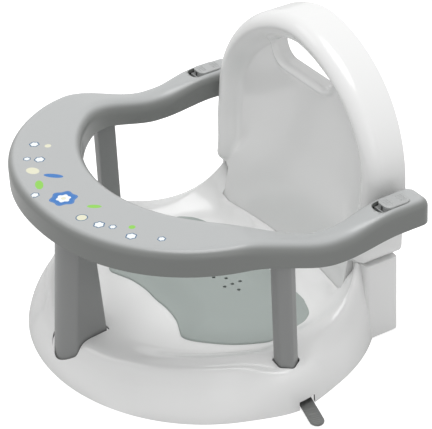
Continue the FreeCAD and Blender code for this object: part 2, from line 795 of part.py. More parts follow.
def seatPad():
    low = val("seatHeight")
    reach = val("padHalfWidth")
    radius = (reach ** 2 + val("padCrown") ** 2) / (2 * val("padCrown"))
    ball = Part.makeSphere(radius, vec(0, 0, low + val("padEdge") + val("padCrown") - radius))
    pad = prism(padOutline(low), vec(0, 0, 40)).common(ball)
    holes = []
    for x, y in drainCentres():
        for stepX, stepY in ((0, 0), (1, 0), (-1, 0), (0, 1), (0, -1)):
            spot = vec(x + stepX * val("drainStepX"), y + stepY * val("drainStepY"), low - 1)
            holes.append(Part.makeCylinder(val("drainHole") / 2, 40, spot))
    return pad.cut(holes + [domeSolid(-val("fitGap"))])


shells = [
    ("base_shell", baseShell),
    ("backrest", backrestShell),
    ("guard_ring", guardRing),
    ("seat_pad", seatPad),
]
for name, make in shells:
    place(doc.addObject("Part::Feature", name), name, make())


# Posts

def outlineSketch(body, name, plane, corners):
    # a closed outline whose corners are held by the sheet
    sketch = body.newObject("Sketcher::SketchObject", name)
    origin = [item for item in body.Origin.OriginFeatures if item.Role == plane][0]
    sketch.AttachmentSupport = [(origin, "")]
    sketch.MapMode = "FlatFace"
    points = [vec(worth(across), worth(along), 0) for across, along in corners]
    for number, point in enumerate(points):
        sketch.addGeometry(Part.LineSegment(point, points[(number + 1) % len(points)]))
    for number in range(len(points)):
        sketch.addConstraint(Sketcher.Constraint("Coincident", number, 2, (number + 1) % len(points), 1))
    for number, formulas in enumerate(corners):
        for way, formula in zip(("X", "Y"), formulas):
            fixed = Sketcher.Constraint("Distance" + way, -1, 1, number, 1, worth(formula))
            held = sketch.addConstraint(fixed)
            label = "corner%d%s" % (number, way)
            sketch.renameConstraint(held, label)
            sketch.setExpression("Constraints." + label, qualified(formula))
    return sketch


def sidePost(name, way):
    body = doc.addObject("PartDesign::Body", name)
    inner = way + " * sidePostWidth / 2 * -1"
    shoulder = way + " * (sidePostWidth / 2 - sidePostRidge)"
    ridge = way + " * sidePostWidth / 2"
    half = "sidePostLength / 2"
    corners = [
        (inner, half + " * -1"),
        (shoulder, half + " * -1"),
        (ridge, "0"),
        (shoulder, half),
        (inner, half),
    ]
    sketch = outlineSketch(body, name + "_outline", "XY_Plane", corners)
    pad = body.newObject("PartDesign::Pad", name + "_pad")
    pad.Profile = sketch
    bind(pad, {"Length": "sidePostTop - sidePostBottom"})
    return move(body, (way + " * sidePostX", "sidePostY", "sidePostBottom"))


sidePost("side_post_right", "1")
sidePost("side_post_left", "-1")
postWall = val("socketWall")
postCore = frontPostSolid(-postWall, val("frontPostBottom"), val("frontPostTop") - postWall)
postCore.translate(vec(0, 0, -0.01))
frontPost = frontPostSolid(0, val("frontPostBottom"), val("frontPostTop")).cut(postCore)
place(doc.addObject("Part::Feature", "front_post"), "front_post", frontPost)


# Latches

def latchSlider(name, way):
    under = "armHeight - ringWall - plateGap"
    corner = "buttonWidth * 0.31"
    low = under + " - 1"
    tall = "ringWall + plateGap + 1 + buttonProud"
    half, far = "buttonWidth / 2", "buttonLength / 2"
    pieces = [
        primitive("Box", name + "_plate",
                  {"Length": "sliderWidth", "Width": "sliderRear - sliderFront", "Height": "sliderPlate"},
                  (way + " * latchX - sliderWidth / 2", "sliderFront", under + " - sliderPlate")),
        primitive("Box", name + "_carrier",
                  {"Length": "carrierWidth", "Width": "carrierRear - carrierFront",
                   "Height": "carrierHeight"},
                  (way + " * pinX - carrierWidth / 2", "carrierFront", "carrierLow")),
        primitive("Box", name + "_button_long",
                  {"Length": "buttonWidth - 2 * " + corner, "Width": "buttonLength", "Height": tall},
                  (way + " * latchX - " + half + " + " + corner, "buttonY - " + far, low)),
        primitive("Box", name + "_button_wide",
                  {"Length": "buttonWidth", "Width": "buttonLength - 2 * " + corner, "Height": tall},
                  (way + " * latchX - " + half, "buttonY - " + far + " + " + corner, low)),
    ]
    for acrossWay in ("-1", "1"):
        for alongWay in ("-1", "1"):
            spot = (
                way + " * latchX + " + acrossWay + " * (" + half + " - " + corner + ")",
                "buttonY + " + alongWay + " * (" + far + " - " + corner + ")",
                low,
            )
            pieces.append(primitive("Cylinder", name + "_corner", {"Radius": corner, "Height": tall}, spot))
    for end in ("-1", "1"):
        for number in ("0", "1", "2"):
            spot = (
                way + " * latchX - gripLength / 2",
                "buttonY + " + end + " * (gripStart + " + number + " * gripStep) - gripWidth / 2",
                "armHeight + buttonProud - 1",
            )
            sizes = {"Length": "gripLength", "Width": "gripWidth", "Height": "1 + gripProud"}
            pieces.append(primitive("Box", name + "_grip", sizes, spot))
    pin = primitive("Cylinder", name + "_pin",
                    {"Radius": "pinBore / 2", "Height": "pinTip - carrierRear + 1"},
                    (way + " * pinX", "carrierRear - 1", "pinHeight"))
    pin.Placement.Rotation = FreeCAD.Rotation(vec(1, 0, 0), -90)
    return fusion(name, pieces + [pin])


def springShape():
    # a compression spring along Y between its rib and the slider
    wire = val("springWire")
    room = val("carrierFront") - val("springSeat") - 2 * 0.05 - wire
    radius = (val("springCoil") - wire) / 2
    helix = Part.makeHelix(room / val("springTurns"), room, radius)
    circle = Part.Wire(Part.Circle(vec(radius, 0, 0), vec(0, 1, 0), wire / 2).toShape())
    return Part.Wire(helix.Edges).makePipeShell([circle], True, True)


def latchCover(name, way):
    low = "armHeight - bandHeight + coverLift"
    plate = primitive("Box", name + "_plate",
                      {"Length": "coverWidth", "Width": "coverRear - coverFront", "Height": "coverThickness"},
                      (way + " * coverX - coverWidth / 2", "coverFront", low))
    holes = []
    for y in ("frontScrewY", "rearScrewY"):
        holes.append(primitive("Cylinder", name + "_hole",
                               {"Radius": "screwBore / 2 + screwGap", "Height": "coverThickness"},
                               (way + " * screwX", y, low)))
        holes.append(primitive("Cylinder", name + "_recess",
                               {"Radius": "screwHead / 2 + slideGap", "Height": "screwHeadHeight"},
                               (way + " * screwX", y, low)))
    return difference(name, plate, fusion(name + "_holes", holes))


def coverScrew(name, way, y):
    low = "armHeight - bandHeight + coverLift"
    spot = (way + " * screwX", y, low)
    head = primitive("Cylinder", name + "_head", {"Radius": "screwHead / 2", "Height": "screwHeadHeight"})
    shank = primitive("Cylinder", name + "_shank", {"Radius": "screwBore / 2", "Height": "screwLength"},
                      ("0", "0", "screwHeadHeight"))
    slots = []
    for length, width in (("screwHead * 0.6", "0.7"), ("0.7", "screwHead * 0.6")):
        slots.append(primitive("Box", name + "_slot", {"Length": length, "Width": width, "Height": "1"},
                               (length + " / -2", width + " / -2", "0")))
    screw = difference(name, fusion(name + "_body", [head, shank]), fusion(name + "_cross", slots))
    return move(screw, spot)


latchNames = []
for side, way in (("right", "1"), ("left", "-1")):
    latchSlider("latch_slider_" + side, way)
    spring = place(doc.addObject("Part::Feature", "latch_spring_" + side), "latch_spring_" + side, springShape())
    spot = vec(float(way) * val("pinX"), val("springSeat") + 0.05 + val("springWire") / 2, val("pinHeight"))
    spring.Placement = FreeCAD.Placement(spot, FreeCAD.Rotation(vec(1, 0, 0), -90))
    latchCover("latch_cover_" + side, way)
    coverScrew("cover_screw_front_" + side, way, "frontScrewY")
    coverScrew("cover_screw_rear_" + side, way, "rearScrewY")
    for word in ("latch_slider_", "latch_spring_", "latch_cover_", "cover_screw_front_", "cover_screw_rear_"):
        latchNames.append(word + side)


# Suction cups

def suctionCup(name, x, y, reach, turn):
    # a bell with its neck, and a strip that peels its lip off the bath
    bell = primitive("Cone", name + "_bell", {"Radius1": "cupBore / 2", "Radius2": "cupTop", "Height": "cupHeight"})
    hollow = primitive("Cone", name + "_hollow",
                       {"Radius1": "cupBore / 2 - cupLip", "Radius2": "cupTop - cupWall",
                        "Height": "cupHeight - cupWall"})
    neck = primitive("Cylinder", name + "_neck",
                     {"Radius": "cupNeck / 2", "Height": "cupNeckTop - cupHeight + 1"},
                     ("0", "0", "cupHeight - 1"))
    start = "cupBore / 2 - cupLip - 0.8"
    strip = primitive("Box", name + "_strip",
                      {"Length": reach + " - tabWidth / 2 - (" + start + ")", "Width": "tabWidth",
                       "Height": "tabThickness"},
                      (start, "tabWidth / -2", "tabLift"))
    end = primitive("Cylinder", name + "_end", {"Radius": "tabWidth / 2", "Height": "tabThickness"},
                    (reach + " - tabWidth / 2", "0", "tabLift"))
    shell = difference(name + "_shell", bell, hollow)
    cup = fusion(name, [shell, neck, strip, end])
    cup.Placement.Rotation = FreeCAD.Rotation(vec(0, 0, 1), turn)
    return move(cup, (x, y, "0"))


sideReach = "(sideTabTip - sideCupX) / cos(sideTabAngle)"
tilt = val("sideTabAngle")
suctionCup("suction_cup_side_right", "sideCupX", "sideCupY", sideReach, tilt)
suctionCup("suction_cup_side_left", "-1 * sideCupX", "sideCupY", sideReach, 180 - tilt)
suctionCup("suction_cup_rear_right", "rearCupX", "rearCupY", "rearTabTip - rearCupY", 90)
suctionCup("suction_cup_rear_left", "-1 * rearCupX", "rearCupY", "rearTabTip - rearCupY", 90)

nodes = [name for name, make in shells]
nodes += ["front_post", "side_post_right", "side_post_left"]
nodes += latchNames
nodes += [name for name, x, y, turn in cupPlaces()]
for name in nodes:
    doc.getObject(name).Label = name
doc.recompute()

for item in doc.Objects:
    if "Invalid" in item.State or "Error" in item.State:
        raise RuntimeError("failed: " + item.Name)
os.makedirs("parts", exist_ok=True)
for name in nodes:
    shape = doc.getObject(name).Shape
    if shape.isNull() or not shape.isValid():
        raise RuntimeError("bad shape: " + name)
    if len(shape.Solids) != 1:
        raise RuntimeError("not one solid: " + name)
for name in nodes:
    shape = doc.getObject(name).Shape
    shape.exportStep("parts/" + name + ".step")
    print(name, round(shape.Volume / 1000, 1), "cubic centimetres")
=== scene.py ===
import math
import bmesh
import bpy
import numpy as np
from mathutils import Matrix, Vector


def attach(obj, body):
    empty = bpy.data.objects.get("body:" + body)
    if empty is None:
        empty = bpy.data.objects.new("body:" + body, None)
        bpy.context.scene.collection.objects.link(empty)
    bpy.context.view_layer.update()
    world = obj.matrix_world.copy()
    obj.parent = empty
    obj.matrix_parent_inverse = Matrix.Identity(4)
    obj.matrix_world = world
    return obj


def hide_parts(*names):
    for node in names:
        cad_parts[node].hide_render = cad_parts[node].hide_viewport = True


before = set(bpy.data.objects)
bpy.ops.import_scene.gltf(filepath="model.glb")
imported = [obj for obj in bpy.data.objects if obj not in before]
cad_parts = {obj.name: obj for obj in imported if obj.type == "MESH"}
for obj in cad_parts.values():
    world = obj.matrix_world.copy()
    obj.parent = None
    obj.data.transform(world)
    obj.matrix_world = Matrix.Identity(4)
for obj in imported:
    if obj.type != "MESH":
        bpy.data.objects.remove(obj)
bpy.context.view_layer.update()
print("frame loaded")

# Camera. Azimuth and elevation in degrees, distance in metres, pixels of a 432 x 429 picture.

cameraSettings = {
    "azimuth": 59.98, "elevation": 31.51, "roll": -3.0, "distance": 1.689, "focalPixels": 2045,
    "target": (0, 0.034, 0.1432), "targetPixel": (223.4, 159.7), "width": 432, "height": 429, "sensor": 36,
}


def placeCamera(settings):
    azimuth, elevation, roll = (math.radians(settings[key]) for key in ("azimuth", "elevation", "roll"))
    forward = np.array([-math.sin(azimuth) * math.cos(elevation), math.cos(azimuth) * math.cos(elevation),
                        -math.sin(elevation)])
    level = np.array([math.cos(azimuth), math.sin(azimuth), 0])
    upright = np.cross(level, forward)
    right = math.cos(roll) * level + math.sin(roll) * upright
    up = -math.sin(roll) * level + math.cos(roll) * upright
    across = (settings["targetPixel"][0] - settings["width"] / 2) / settings["focalPixels"]
    down = (settings["targetPixel"][1] - settings["height"] / 2) / settings["focalPixels"]
    spot = np.array(settings["target"]) - settings["distance"] * (forward + across * right - down * up)
    data = bpy.data.cameras.new("photo_camera")
    data.sensor_width = settings["sensor"]
    data.lens = settings["focalPixels"] / settings["width"] * settings["sensor"]
    data.clip_end = 30
    camera = bpy.data.objects.new("photo_camera", data)
    columns = np.column_stack([right, up, -forward])
    matrix = np.eye(4)
    matrix[:3, :3], matrix[:3, 3] = columns, spot
    camera.matrix_world = Matrix(matrix.tolist())
    bpy.context.scene.collection.objects.link(camera)
    bpy.context.scene.camera = camera


placeCamera(cameraSettings)
print("camera placed")

# Helpers for grids of points. All shapes are worked out in millimetres and become metres in meshPiece.


def ease(share):
    # 3 s squared minus 2 s cubed, with s held between 0 and 1
    share = np.clip(share, 0, 1)
    return share * share * (3 - 2 * share)


def roundDrop(distance, radius):
    # how far a quarter round falls away at a distance from its edge: r - sqrt(r^2 - (r - d)^2)
    reach = radius - np.clip(distance, 0, radius)
    return radius - np.sqrt(np.maximum(radius ** 2 - reach ** 2, 0))


def distanceTo(across, along, outline):
    # least distance from each point of a plane to a closed line of points
    spots = np.stack([across.ravel(), along.ravel()], -1)
    start, end = outline, np.roll(outline, -1, axis=0)
    run = end - start
    length = np.maximum((run ** 2).sum(1), 1e-9)
    best = np.full(len(spots), 1e9)
    for part in np.array_split(np.arange(len(start)), max(1, len(start) // 40)):
        offset = spots[:, None] - start[part][None]
        share = np.clip((offset * run[part]).sum(2) / length[part], 0, 1)
        gap = offset - share[..., None] * run[part]
        best = np.minimum(best, np.sqrt((gap ** 2).sum(2)).min(1))
    return best.reshape(across.shape)


def resampled(line, count, closed=True):
    # points spread evenly along a line of points
    whole = np.vstack([line, line[:1]]) if closed else line
    steps = np.r_[0, np.cumsum(np.linalg.norm(np.diff(whole, axis=0), axis=1))]
    places = np.linspace(0, steps[-1], count, endpoint=not closed)
    return np.stack([np.interp(places, steps, whole[:, axis]) for axis in range(whole.shape[1])], -1)


def roundedOutline(corners, radius, steps=7):
    # a polygon whose corners become short curves: (1-t)^2 A + 2t(1-t) corner + t^2 B
    corners = np.array(corners, float)
    before, after = np.roll(corners, 1, axis=0) - corners, np.roll(corners, -1, axis=0) - corners
    lengths = [np.linalg.norm(side, axis=1, keepdims=True) for side in (before, after)]
    reach = np.minimum(radius, np.minimum(*lengths) * 0.48)
    first, last = corners + before / lengths[0] * reach, corners + after / lengths[1] * reach
    share = np.linspace(0, 1, steps)[None, :, None]
    curve = (1 - share) ** 2 * first[:, None] + 2 * share * (1 - share) * corners[:, None] + share ** 2 * last[:, None]
    return curve.reshape(-1, 2)


def gridPart(points, toward, cell=(0, 0), closedRows=False, closedColumns=False):
    # the points of a grid and its quads, turned so that the quad at cell faces toward
    rows, columns = points.shape[:2]
    row, column = np.meshgrid(np.arange(rows - (not closedRows)), np.arange(columns - (not closedColumns)),
                              indexing="ij")
    nextRow, nextColumn = (row + 1) % rows, (column + 1) % columns
    quads = np.stack([row * columns + column, row * columns + nextColumn, nextRow * columns + nextColumn,
                      nextRow * columns + column], -1).reshape(-1, 4)
    i, j = cell
    normal = np.cross(points[i, (j + 1) % columns] - points[i, j], points[(i + 1) % rows, j] - points[i, j])
    if np.dot(normal, toward) < 0:
        quads = quads[:, ::-1]
    return points.reshape(-1, 3), quads.tolist()


def columnPart(levels):
    # a closed column from outlines at rising heights, which run anticlockwise seen from above
    points = np.array(levels)
    rows, columns = points.shape[:2]
    outward = points[0, 0] - points[0].mean(0)
    spots, faces = gridPart(points, outward, closedColumns=True)
    bottom = list(range(columns))[::-1]
    top = list(range((rows - 1) * columns, rows * columns))
    return spots, faces + [bottom, top]


def atHeight(outline, height):
    return np.column_stack([outline, np.full(len(outline), height)])


def meshPiece(name, parts, sharp=38, values=None):
    # joins the parts, merges points that meet and returns the object; values is a number for each point, stored as the
    # painted-light share that the tray's colour mixes by
    points = np.vstack([part[0] for part in parts]) / 1000
    faces, start = [], 0
    for spots, quads in parts:
        faces += [[corner + start for corner in quad] for quad in quads]
        start += len(spots)
    mesh = bpy.data.meshes.new(name)
    mesh.from_pydata(points.tolist(), [], faces)
    if values is not None:
        layer = mesh.attributes.new("paintedLightShare", "FLOAT", "POINT")
        layer.data.foreach_set("value", np.asarray(values, np.float32))
    work = bmesh.new()
    work.from_mesh(mesh)
    bmesh.ops.remove_doubles(work, verts=work.verts, dist=1e-5)
    bmesh.ops.dissolve_degenerate(work, edges=work.edges, dist=1e-6)
    work.to_mesh(mesh)
    work.free()
    mesh.polygons.foreach_set("use_smooth", np.ones(len(mesh.polygons), bool))
    mesh.set_sharp_from_angle(angle=math.radians(sharp))
    piece = bpy.data.objects.new(name, mesh)
    bpy.context.scene.collection.objects.link(piece)
    return piece


def applied(piece):
    # the piece with its modifiers worked into its mesh
    bpy.context.view_layer.update()
    graph = bpy.context.evaluated_depsgraph_get()
    mesh = bpy.data.meshes.new_from_object(piece.evaluated_get(graph))
    piece.modifiers.clear()
    piece.data = mesh
    return piece


def walled(piece, wall):
    # gives an open surface a wall that grows inwards
    solid = piece.modifiers.new("wall", "SOLIDIFY")
    solid.thickness, solid.offset = wall / 1000, -1
    solid.use_even_offset = False
    return applied(piece)


def carved(piece, cutters, sharp=38):
    # cuts closed parts out of a closed piece
    tool = meshPiece("cutting_tool", cutters)
    cut = piece.modifiers.new("cut", "BOOLEAN")
    cut.operation, cut.solver, cut.object = "DIFFERENCE", "EXACT", tool
    applied(piece)
    bpy.data.objects.remove(tool)
    piece.data.polygons.foreach_set("use_smooth", np.ones(len(piece.data.polygons), bool))
    piece.data.set_sharp_from_angle(angle=math.radians(sharp))
    return piece


def finished(piece, material, body, slot, *nodes):
    piece.data.materials.clear()
    piece.data.materials.append(material)
    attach(piece, body)
    if nodes:
        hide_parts(*nodes)
    return piece


# Shader groups, each built once


def addNode(tree, kind, **settings):
    node = tree.nodes.new("ShaderNode" + kind)
    for key, value in settings.items():
        setattr(node, key, value)
    return node


def wire(tree, target, source):
    # a source is another socket, or a plain number or colour
    if isinstance(source, bpy.types.NodeSocket):
        tree.links.new(source, target)
    else:
        target.default_value = source


def mathNode(tree, operation, *sources, clamp=False):
    node = addNode(tree, "Math", operation=operation, use_clamp=clamp)
    for number, source in enumerate(sources):
        wire(tree, node.inputs[number], source)
    return node.outputs[0]


def mixColour(tree, share, first, second):
    node = addNode(tree, "Mix", data_type="RGBA")
    for name, source in ((0, share), (6, first), (7, second)):
        wire(tree, node.inputs[name], source)
    return node.outputs[2]


def newGroup(name, inputs, outputs):
    group = bpy.data.node_groups.new(name, "ShaderNodeTree")
    for label, kind, value in inputs:
        socket = group.interface.new_socket(label, in_out="INPUT", socket_type="NodeSocket" + kind)
        if kind == "Float":
            socket.default_value = value
    for label, kind in outputs:
        group.interface.new_socket(label, in_out="OUTPUT", socket_type="NodeSocket" + kind)
    return group, group.nodes.new("NodeGroupInput"), group.nodes.new("NodeGroupOutput")


def mouldedSurface():
    # fine mould grain, slow waves of the wall, faint scuffs: height, roughness and a shade factor
    group, start, end = newGroup("mouldedSurface", [
        ("Vector", "Vector", None), ("Grain", "Float", 900), ("Wave", "Float", 9), ("Grain Depth", "Float", 0.15),
        ("Smooth", "Float", 0.2), ("Dull", "Float", 0.35), ("Shade", "Float", 0.03)],
        [("Height", "Float"), ("Roughness", "Float"), ("Factor", "Float")])
    grain = addNode(group, "TexNoise")
    wire(group, grain.inputs["Vector"], start.outputs["Vector"])
    wire(group, grain.inputs["Scale"], start.outputs["Grain"])
    grain.inputs["Detail"].default_value = 2
    wave = addNode(group, "TexNoise")
    wire(group, wave.inputs["Vector"], start.outputs["Vector"])
    wire(group, wave.inputs["Scale"], start.outputs["Wave"])
    wave.inputs["Detail"].default_value = 3
    stretch = addNode(group, "Mapping")
    stretch.inputs["Scale"].default_value = (1, 9, 3)
    stretch.inputs["Rotation"].default_value = (0.4, 0.2, 0.7)
    wire(group, stretch.inputs["Vector"], start.outputs["Vector"])
    scuff = addNode(group, "TexNoise")
    wire(group, scuff.inputs["Vector"], stretch.outputs["Vector"])
    scuff.inputs["Scale"].default_value = 60
    scuff.inputs["Detail"].default_value = 6
    marks = addNode(group, "MapRange")
    wire(group, marks.inputs["Value"], scuff.outputs["Fac"])
    for label, value in (("From Min", 0.58), ("From Max", 0.75), ("To Min", 0), ("To Max", 1)):
        marks.inputs[label].default_value = value
    height = mathNode(group, "MULTIPLY", grain.outputs["Fac"], start.outputs["Grain Depth"])
    height = mathNode(group, "SUBTRACT", height, mathNode(group, "MULTIPLY", marks.outputs["Result"], 0.02))
    share = mathNode(group, "ADD", mathNode(group, "MULTIPLY", wave.outputs["Fac"], 0.7),
                     mathNode(group, "MULTIPLY", marks.outputs["Result"], 0.3), clamp=True)
    span = mathNode(group, "SUBTRACT", start.outputs["Dull"], start.outputs["Smooth"])
    rough = mathNode(group, "ADD", start.outputs["Smooth"], mathNode(group, "MULTIPLY", span, share))
    swing = mathNode(group, "MULTIPLY", mathNode(group, "SUBTRACT", wave.outputs["Fac"], 0.5), start.outputs["Shade"])
    wire(group, end.inputs["Height"], height)
    wire(group, end.inputs["Roughness"], rough)
    wire(group, end.inputs["Factor"], mathNode(group, "ADD", 1.0, swing))
    return group


def printedMark():
    # a lobed shape on the tray: its edge is 1 - depth (1 - cos(lobes a)) / 2 at the angle a round its centre
    group, start, end = newGroup("printedMark", [
        ("Vector", "Vector", None), ("Across", "Float", 0), ("Along", "Float", 0), ("Size", "Float", 0.01),
        ("Stretch", "Float", 1), ("Lobes", "Float", 5), ("Depth", "Float", 0.2), ("Turn", "Float", 0),
        ("Line", "Float", 0.12)], [("Fill", "Float"), ("Line", "Float")])
    split = addNode(group, "SeparateXYZ")
    wire(group, split.inputs[0], start.outputs["Vector"])
    across = mathNode(group, "DIVIDE", mathNode(group, "SUBTRACT", split.outputs[0], start.outputs["Across"]),
                      start.outputs["Size"])
    along = mathNode(group, "DIVIDE", mathNode(group, "SUBTRACT", split.outputs[1], start.outputs["Along"]),
                     start.outputs["Size"])
    cosine = mathNode(group, "COSINE", start.outputs["Turn"])
    sine = mathNode(group, "SINE", start.outputs["Turn"])
    turnedAcross = mathNode(group, "ADD", mathNode(group, "MULTIPLY", across, cosine),
                            mathNode(group, "MULTIPLY", along, sine))
    turnedAlong = mathNode(group, "SUBTRACT", mathNode(group, "MULTIPLY", along, cosine),
                           mathNode(group, "MULTIPLY", across, sine))
    turnedAlong = mathNode(group, "MULTIPLY", turnedAlong, start.outputs["Stretch"])
    reach = mathNode(group, "SQRT", mathNode(group, "ADD", mathNode(group, "MULTIPLY", turnedAcross, turnedAcross),
                                             mathNode(group, "MULTIPLY", turnedAlong, turnedAlong)))
    angle = mathNode(group, "ARCTAN2", turnedAlong, turnedAcross)
    wave = mathNode(group, "COSINE", mathNode(group, "MULTIPLY", angle, start.outputs["Lobes"]))
    dent = mathNode(group, "MULTIPLY", mathNode(group, "SUBTRACT", 1.0, wave),
                    mathNode(group, "MULTIPLY", start.outputs["Depth"], 0.5))
    edge = mathNode(group, "SUBTRACT", 1.0, dent)
    inside = mathNode(group, "MULTIPLY", mathNode(group, "SUBTRACT", edge, reach), 22.0, clamp=True)
    core = mathNode(group, "SUBTRACT", mathNode(group, "SUBTRACT", edge, start.outputs["Line"]), reach)
    core = mathNode(group, "MULTIPLY", core, 22.0, clamp=True)
    wire(group, end.inputs["Fill"], core)
    wire(group, end.inputs["Line"], mathNode(group, "SUBTRACT", inside, core, clamp=True))
    return group


surfaceGroup = mouldedSurface()
markGroup = printedMark()

# Materials. Colours are linear, lengths in metres.

finishes = {
    "glossy_white": {"colour": (0.82, 0.822, 0.818, 1), "smooth": 0.16, "dull": 0.3, "coat": 0.25, "grain": 700,
                     "depth": 0.05, "wave": 7, "shade": 0.02},
    # tray_grey: colour is painted shade on the side band and rounded edge, top is painted light on the upper face
    "tray_grey": {"colour": (0.185, 0.193, 0.186, 1), "top": (0.44, 0.452, 0.453, 1), "smooth": 0.26, "dull": 0.38,
                  "coat": 0.12, "grain": 1100, "depth": 0.12, "wave": 8, "shade": 0.03},
    "post_grey": {"colour": (0.245, 0.25, 0.248, 1), "smooth": 0.3, "dull": 0.42, "coat": 0.1, "grain": 1100,
                  "depth": 0.15, "wave": 12, "shade": 0.04},
    "button_grey": {"colour": (0.42, 0.43, 0.43, 1), "smooth": 0.3, "dull": 0.42, "coat": 0.1, "grain": 1100,
                    "depth": 0.12, "wave": 12, "shade": 0.03},
    "soft_pad": {"colour": (0.352, 0.393, 0.376, 1), "smooth": 0.5, "dull": 0.66, "coat": 0, "grain": 1500,
                 "depth": 0.5, "wave": 16, "shade": 0.05},
    "cup_rubber": {"colour": (0.16, 0.165, 0.16, 1), "smooth": 0.4, "dull": 0.56, "coat": 0, "grain": 1300,
                   "depth": 0.3, "wave": 20, "shade": 0.08},
    "screw_steel": {"colour": (0.55, 0.55, 0.54, 1), "smooth": 0.24, "dull": 0.42, "coat": 0, "grain": 2400,
                    "depth": 0.2, "wave": 60, "shade": 0.1, "metal": 1},
}


def moulded(name):
    settings = finishes[name]
    material = bpy.data.materials.new(name)
    material.use_nodes = True
    tree = material.node_tree
    shader = tree.nodes["Principled BSDF"]
    places = addNode(tree, "TexCoord")
    surface = addNode(tree, "Group", node_tree=surfaceGroup)
    wire(tree, surface.inputs["Vector"], places.outputs["Object"])
    for label, key in (("Grain", "grain"), ("Wave", "wave"), ("Grain Depth", "depth"), ("Smooth", "smooth"),
                       ("Dull", "dull"), ("Shade", "shade")):
        surface.inputs[label].default_value = settings[key]
    colour = settings["colour"]
    # painted light and shade: the darker side colour and the lighter top colour are mixed by the painted-light share
    # attribute
    if "top" in settings:
        paintedLightShare = addNode(tree, "Attribute", attribute_name="paintedLightShare")
        colour = mixColour(tree, paintedLightShare.outputs["Fac"], colour, settings["top"])
    shaded = addNode(tree, "VectorMath", operation="SCALE")
    wire(tree, shaded.inputs[0], colour if isinstance(colour, bpy.types.NodeSocket) else colour[:3])
    wire(tree, shaded.inputs["Scale"], surface.outputs["Factor"])
    bump = addNode(tree, "Bump")
    bump.inputs["Strength"].default_value = 0.35
    bump.inputs["Distance"].default_value = 0.0002
    wire(tree, bump.inputs["Height"], surface.outputs["Height"])
    wire(tree, shader.inputs["Base Color"], shaded.outputs[0])
    wire(tree, shader.inputs["Roughness"], surface.outputs["Roughness"])
    wire(tree, shader.inputs["Normal"], bump.outputs["Normal"])
    shader.inputs["Coat Weight"].default_value = settings["coat"]
    shader.inputs["Coat Roughness"].default_value = 0.08
    shader.inputs["Metallic"].default_value = settings.get("metal", 0)
    return material


materials = {name: moulded(name) for name in finishes}

# The print on the tray: bubbles, blossoms and leaves. Places and sizes in metres.

printColours = {
    "white": (0.86, 0.9, 0.92, 1), "blue": (0.012, 0.16, 0.5, 1), "navy": (0.03, 0.12, 0.24, 1),
    "lime": (0.24, 0.6, 0.06, 1), "cream": (0.74, 0.73, 0.55, 1),
}
printMarks = [  # fill, line, across, along, size, stretch, lobes, depth, turn, line width
    ("blue", "blue", 0.006, -0.117, 0.0118, 1.0, 6, 0.16, 0.2, 0.1),
    ("white", "blue", 0.006, -0.117, 0.0066, 1.0, 6, 0.18, 0.2, 0.05),
    ("cream", "cream", 0.006, -0.117, 0.0021, 1.0, 1, 0.0, 0.0, 0.02),
    ("blue", "blue", -0.030, -0.107, 0.0085, 2.4, 2, 0.15, 0.75, 0.1),
    ("lime", "lime", -0.024, -0.123, 0.0072, 1.9, 2, 0.1, -0.4, 0.1),
    ("lime", "lime", 0.031, -0.103, 0.0060, 2.1, 2, 0.1, 0.9, 0.1),
    ("cream", "cream", -0.047, -0.117, 0.0062, 1.3, 1, 0.0, 0.3, 0.1),
    ("cream", "navy", 0.040, -0.119, 0.0050, 1.0, 1, 0.0, 0.0, 0.16),
    ("white", "navy", 0.057, -0.113, 0.0050, 1.0, 6, 0.14, 0.4, 0.2),
    ("white", "navy", 0.066, -0.106, 0.0034, 1.0, 6, 0.14, 1.0, 0.24),
    ("white", "navy", 0.086, -0.101, 0.0048, 1.0, 6, 0.12, 0.3, 0.2),
    ("white", "navy", 0.103, -0.084, 0.0036, 1.0, 6, 0.14, 0.1, 0.24),
    ("white", "navy", -0.012, -0.133, 0.0040, 1.0, 6, 0.14, 0.8, 0.22),
    ("white", "navy", -0.060, -0.104, 0.0048, 1.0, 6, 0.12, 0.1, 0.2),
    ("white", "navy", -0.067, -0.112, 0.0034, 1.0, 6, 0.14, 0.5, 0.24),
    ("white", "navy", -0.085, -0.096, 0.0046, 1.0, 6, 0.14, 0.9, 0.22),
    ("cream", "cream", -0.076, -0.088, 0.0028, 1.0, 1, 0.0, 0.0, 0.1),
    ("lime", "lime", 0.075, -0.094, 0.0028, 1.0, 1, 0.0, 0.0, 0.1),
]


def printOnTray(material):
    # each mark lies over what is there already, only where the tray's painted-light share says top
    tree = material.node_tree
    shader = tree.nodes["Principled BSDF"]
    places = [node for node in tree.nodes if node.type == "TEX_COORD"][0]
    paintedLightShare = [node for node in tree.nodes if node.type == "ATTRIBUTE"][0].outputs["Fac"]
    upper = mathNode(tree, "GREATER_THAN", paintedLightShare, 0.8)
    colour = shader.inputs["Base Color"].links[0].from_socket
    for fill, line, across, along, size, stretch, lobes, depth, turn, width in printMarks:
        mark = addNode(tree, "Group", node_tree=markGroup)
        wire(tree, mark.inputs["Vector"], places.outputs["Object"])
        for label, value in (("Across", across), ("Along", along), ("Size", size), ("Stretch", stretch),
                             ("Lobes", lobes), ("Depth", depth), ("Turn", turn), ("Line", width)):
            mark.inputs[label].default_value = value
        for label, name in (("Fill", fill), ("Line", line)):
            share = mathNode(tree, "MULTIPLY", mark.outputs[label], upper)
            colour = mixColour(tree, share, colour, printColours[name])
    wire(tree, shader.inputs["Base Color"], colour)


printOnTray(materials["tray_grey"])
print("materials made")

# Backrest

